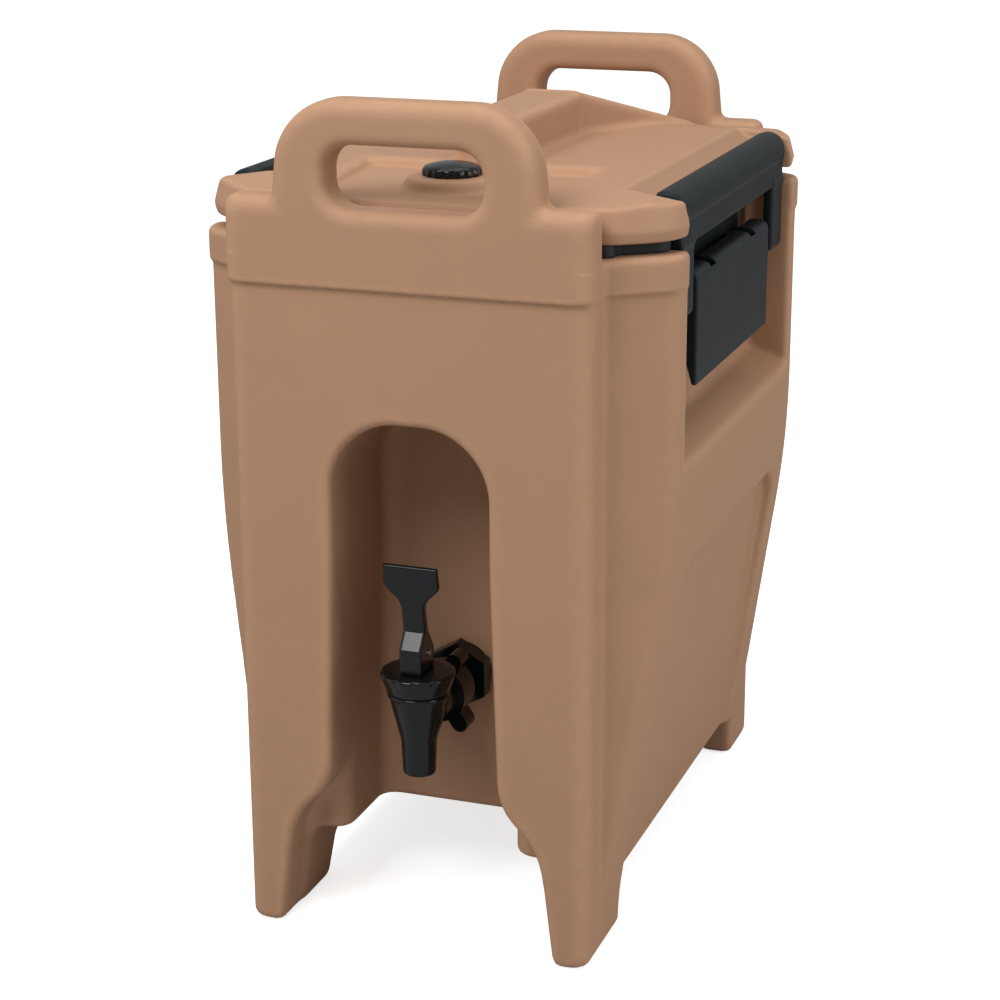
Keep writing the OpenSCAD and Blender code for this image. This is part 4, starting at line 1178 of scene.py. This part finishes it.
@dataclass
class Stage:
    """Pale floor, soft lamps and the camera at the photograph's angle."""

    eye: tuple[float, float, float] = (0.44158, -1.26214, 0.61983)
    azimuth: float = 19.804
    elevation: float = 17.204
    roll: float = -0.246
    lens: float = 84.23
    sensor: float = 36.0
    aim_z: float = 0.24
    floor_half: float = 14.0
    floor_shade: float = 0.86
    floor_bounce: float = 0.5
    floor_glow: float = 0.72
    ambient: float = 0.41
    lamps: list[tuple[str, tuple[float, float, float], float, float]] = field(default_factory=lambda: [
        ("lamp_key", (-0.25, -0.95, 1.35), 0.72, 12.6),
        ("lamp_top", (0.1, 0.2, 2.1), 1.6, 10.8),
        ("lamp_right", (1.7, -0.1, 0.8), 1.2, 11.5),
        ("lamp_left", (-1.7, -1.0, 0.9), 1.4, 2.0),
    ])

    def axes(self) -> tuple[Array, Array, Array]:
        """Camera's right, up and back from its azimuth, elevation and roll.

        Returns:
            Three unit vectors.
        """
        a, e, t = (math.radians(v) for v in (self.azimuth, self.elevation, self.roll))
        back = np.array([math.sin(a) * math.cos(e), -math.cos(a) * math.cos(e), math.sin(e)])
        right = np.array([math.cos(a), math.sin(a), 0.0])
        up = np.cross(back, right)
        return math.cos(t) * right + math.sin(t) * up, -math.sin(t) * right + math.cos(t) * up, back

    def placed(self, right: Array, up: Array, back: Array, place: tuple[float, float, float]) -> Matrix:
        """World matrix of a camera or lamp with the given axes, at a place."""
        rows = [[right[i], up[i], back[i], place[i]] for i in range(3)]
        return Matrix(rows + [[0.0, 0.0, 0.0, 1.0]])

    def camera(self) -> None:
        """Camera with the lens and place found from the photograph's perspective."""
        data = bpy.data.cameras.new("camera")
        data.lens = self.lens
        data.sensor_width = self.sensor
        data.clip_start, data.clip_end = 0.05, 50.0
        eye = bpy.data.objects.new("camera", data)
        right, up, back = self.axes()
        eye.matrix_world = self.placed(right, up, back, self.eye)
        bpy.context.scene.collection.objects.link(eye)
        bpy.context.scene.camera = eye

    def light(self) -> None:
        """Soft square lamps that all face the middle of the carrier."""
        aim = np.array([0.0, 0.0, self.aim_z])
        for name, place, size, power in self.lamps:
            data = bpy.data.lights.new(name, "AREA")
            data.size = size
            data.energy = power
            lamp = bpy.data.objects.new(name, data)
            back = np.array(place) - aim
            back /= np.linalg.norm(back)
            right = np.cross([0.0, 0.0, 1.0], back)
            right /= np.linalg.norm(right)
            up = np.cross(back, right)
            lamp.matrix_world = self.placed(right, up, back, place)
            bpy.context.scene.collection.objects.link(lamp)

    def world(self) -> None:
        """Even ambient light, with a white backdrop for what the camera sees."""
        world = bpy.data.worlds.new("studio")
        world.use_nodes = True
        nodes, links = world.node_tree.nodes, world.node_tree.links
        path = nodes.new("ShaderNodeLightPath")
        level = nodes.new("ShaderNodeMapRange")
        level.inputs["To Min"].default_value = self.ambient
        level.inputs["To Max"].default_value = 1.0
        links.new(path.outputs["Is Camera Ray"], level.inputs["Value"])
        back = nodes["Background"]
        back.inputs["Color"].default_value = WHITE
        links.new(level.outputs["Result"], back.inputs["Strength"])
        bpy.context.scene.world = world

    def floor(self) -> None:
        """Pale floor that keeps the carrier's shadow, runs out into white and is clear from below."""
        mesh = bpy.data.meshes.new("floor")
        corner = self.floor_half * np.array([[-1, -1, 0], [1, -1, 0], [1, 1, 0], [-1, 1, 0]], dtype=float)
        mesh.from_pydata(corner.tolist(), [], [(0, 1, 2, 3)])
        floor = bpy.data.objects.new("floor", mesh)
        bpy.context.scene.collection.objects.link(floor)
        mat = bpy.data.materials.new("pale_floor")
        mat.use_nodes = True
        nodes, links = mat.node_tree.nodes, mat.node_tree.links
        nodes.remove(nodes["Principled BSDF"])
        plain = nodes.new("ShaderNodeBsdfDiffuse")
        glow = nodes.new("ShaderNodeEmission")
        glow.inputs["Color"].default_value = WHITE
        path = nodes.new("ShaderNodeLightPath")
        shade = nodes.new("ShaderNodeMix")
        shade.data_type = "RGBA"
        shade.inputs["A"].default_value = (*(self.floor_bounce,) * 3, 1.0)
        shade.inputs["B"].default_value = (*(self.floor_shade,) * 3, 1.0)
        links.new(path.outputs["Is Camera Ray"], shade.inputs["Factor"])
        links.new(shade.outputs["Result"], plain.inputs["Color"])
        lift = nodes.new("ShaderNodeMath")
        lift.operation = "MULTIPLY"
        lift.inputs[1].default_value = self.floor_glow
        links.new(path.outputs["Is Camera Ray"], lift.inputs[0])
        links.new(lift.outputs["Value"], glow.inputs["Strength"])
        both = nodes.new("ShaderNodeAddShader")
        links.new(plain.outputs["BSDF"], both.inputs[0])
        links.new(glow.outputs["Emission"], both.inputs[1])
        facing = nodes.new("ShaderNodeNewGeometry")
        clear = nodes.new("ShaderNodeBsdfTransparent")
        seen = nodes.new("ShaderNodeMixShader")
        links.new(facing.outputs["Backfacing"], seen.inputs["Fac"])
        links.new(both.outputs["Shader"], seen.inputs[1])
        links.new(clear.outputs["BSDF"], seen.inputs[2])
        links.new(seen.outputs["Shader"], nodes["Material Output"].inputs["Surface"])
        mesh.materials.append(mat)

    def build(self) -> None:
        """Sets the camera, the lamps, the world and the floor."""
        self.camera()
        self.light()
        self.world()
        self.floor()
        bpy.context.scene.view_settings.view_transform = "Standard"


def main() -> None:
    """Builds the classes in order, dresses the CAD nodes and sets the stage."""
    dress_nodes()
    for moulding in (Body(), Lid(), Gasket(), VentCap(), TapBody(), TapBonnet(), TapLever()):
        moulding.build()
    for side in Side:
        Latch(side).build()
    StemSpring().build()
    Stage().build()


if __name__ == "__main__":
    logging.basicConfig(level=logging.INFO, format="%(name)s: %(message)s")
    main()
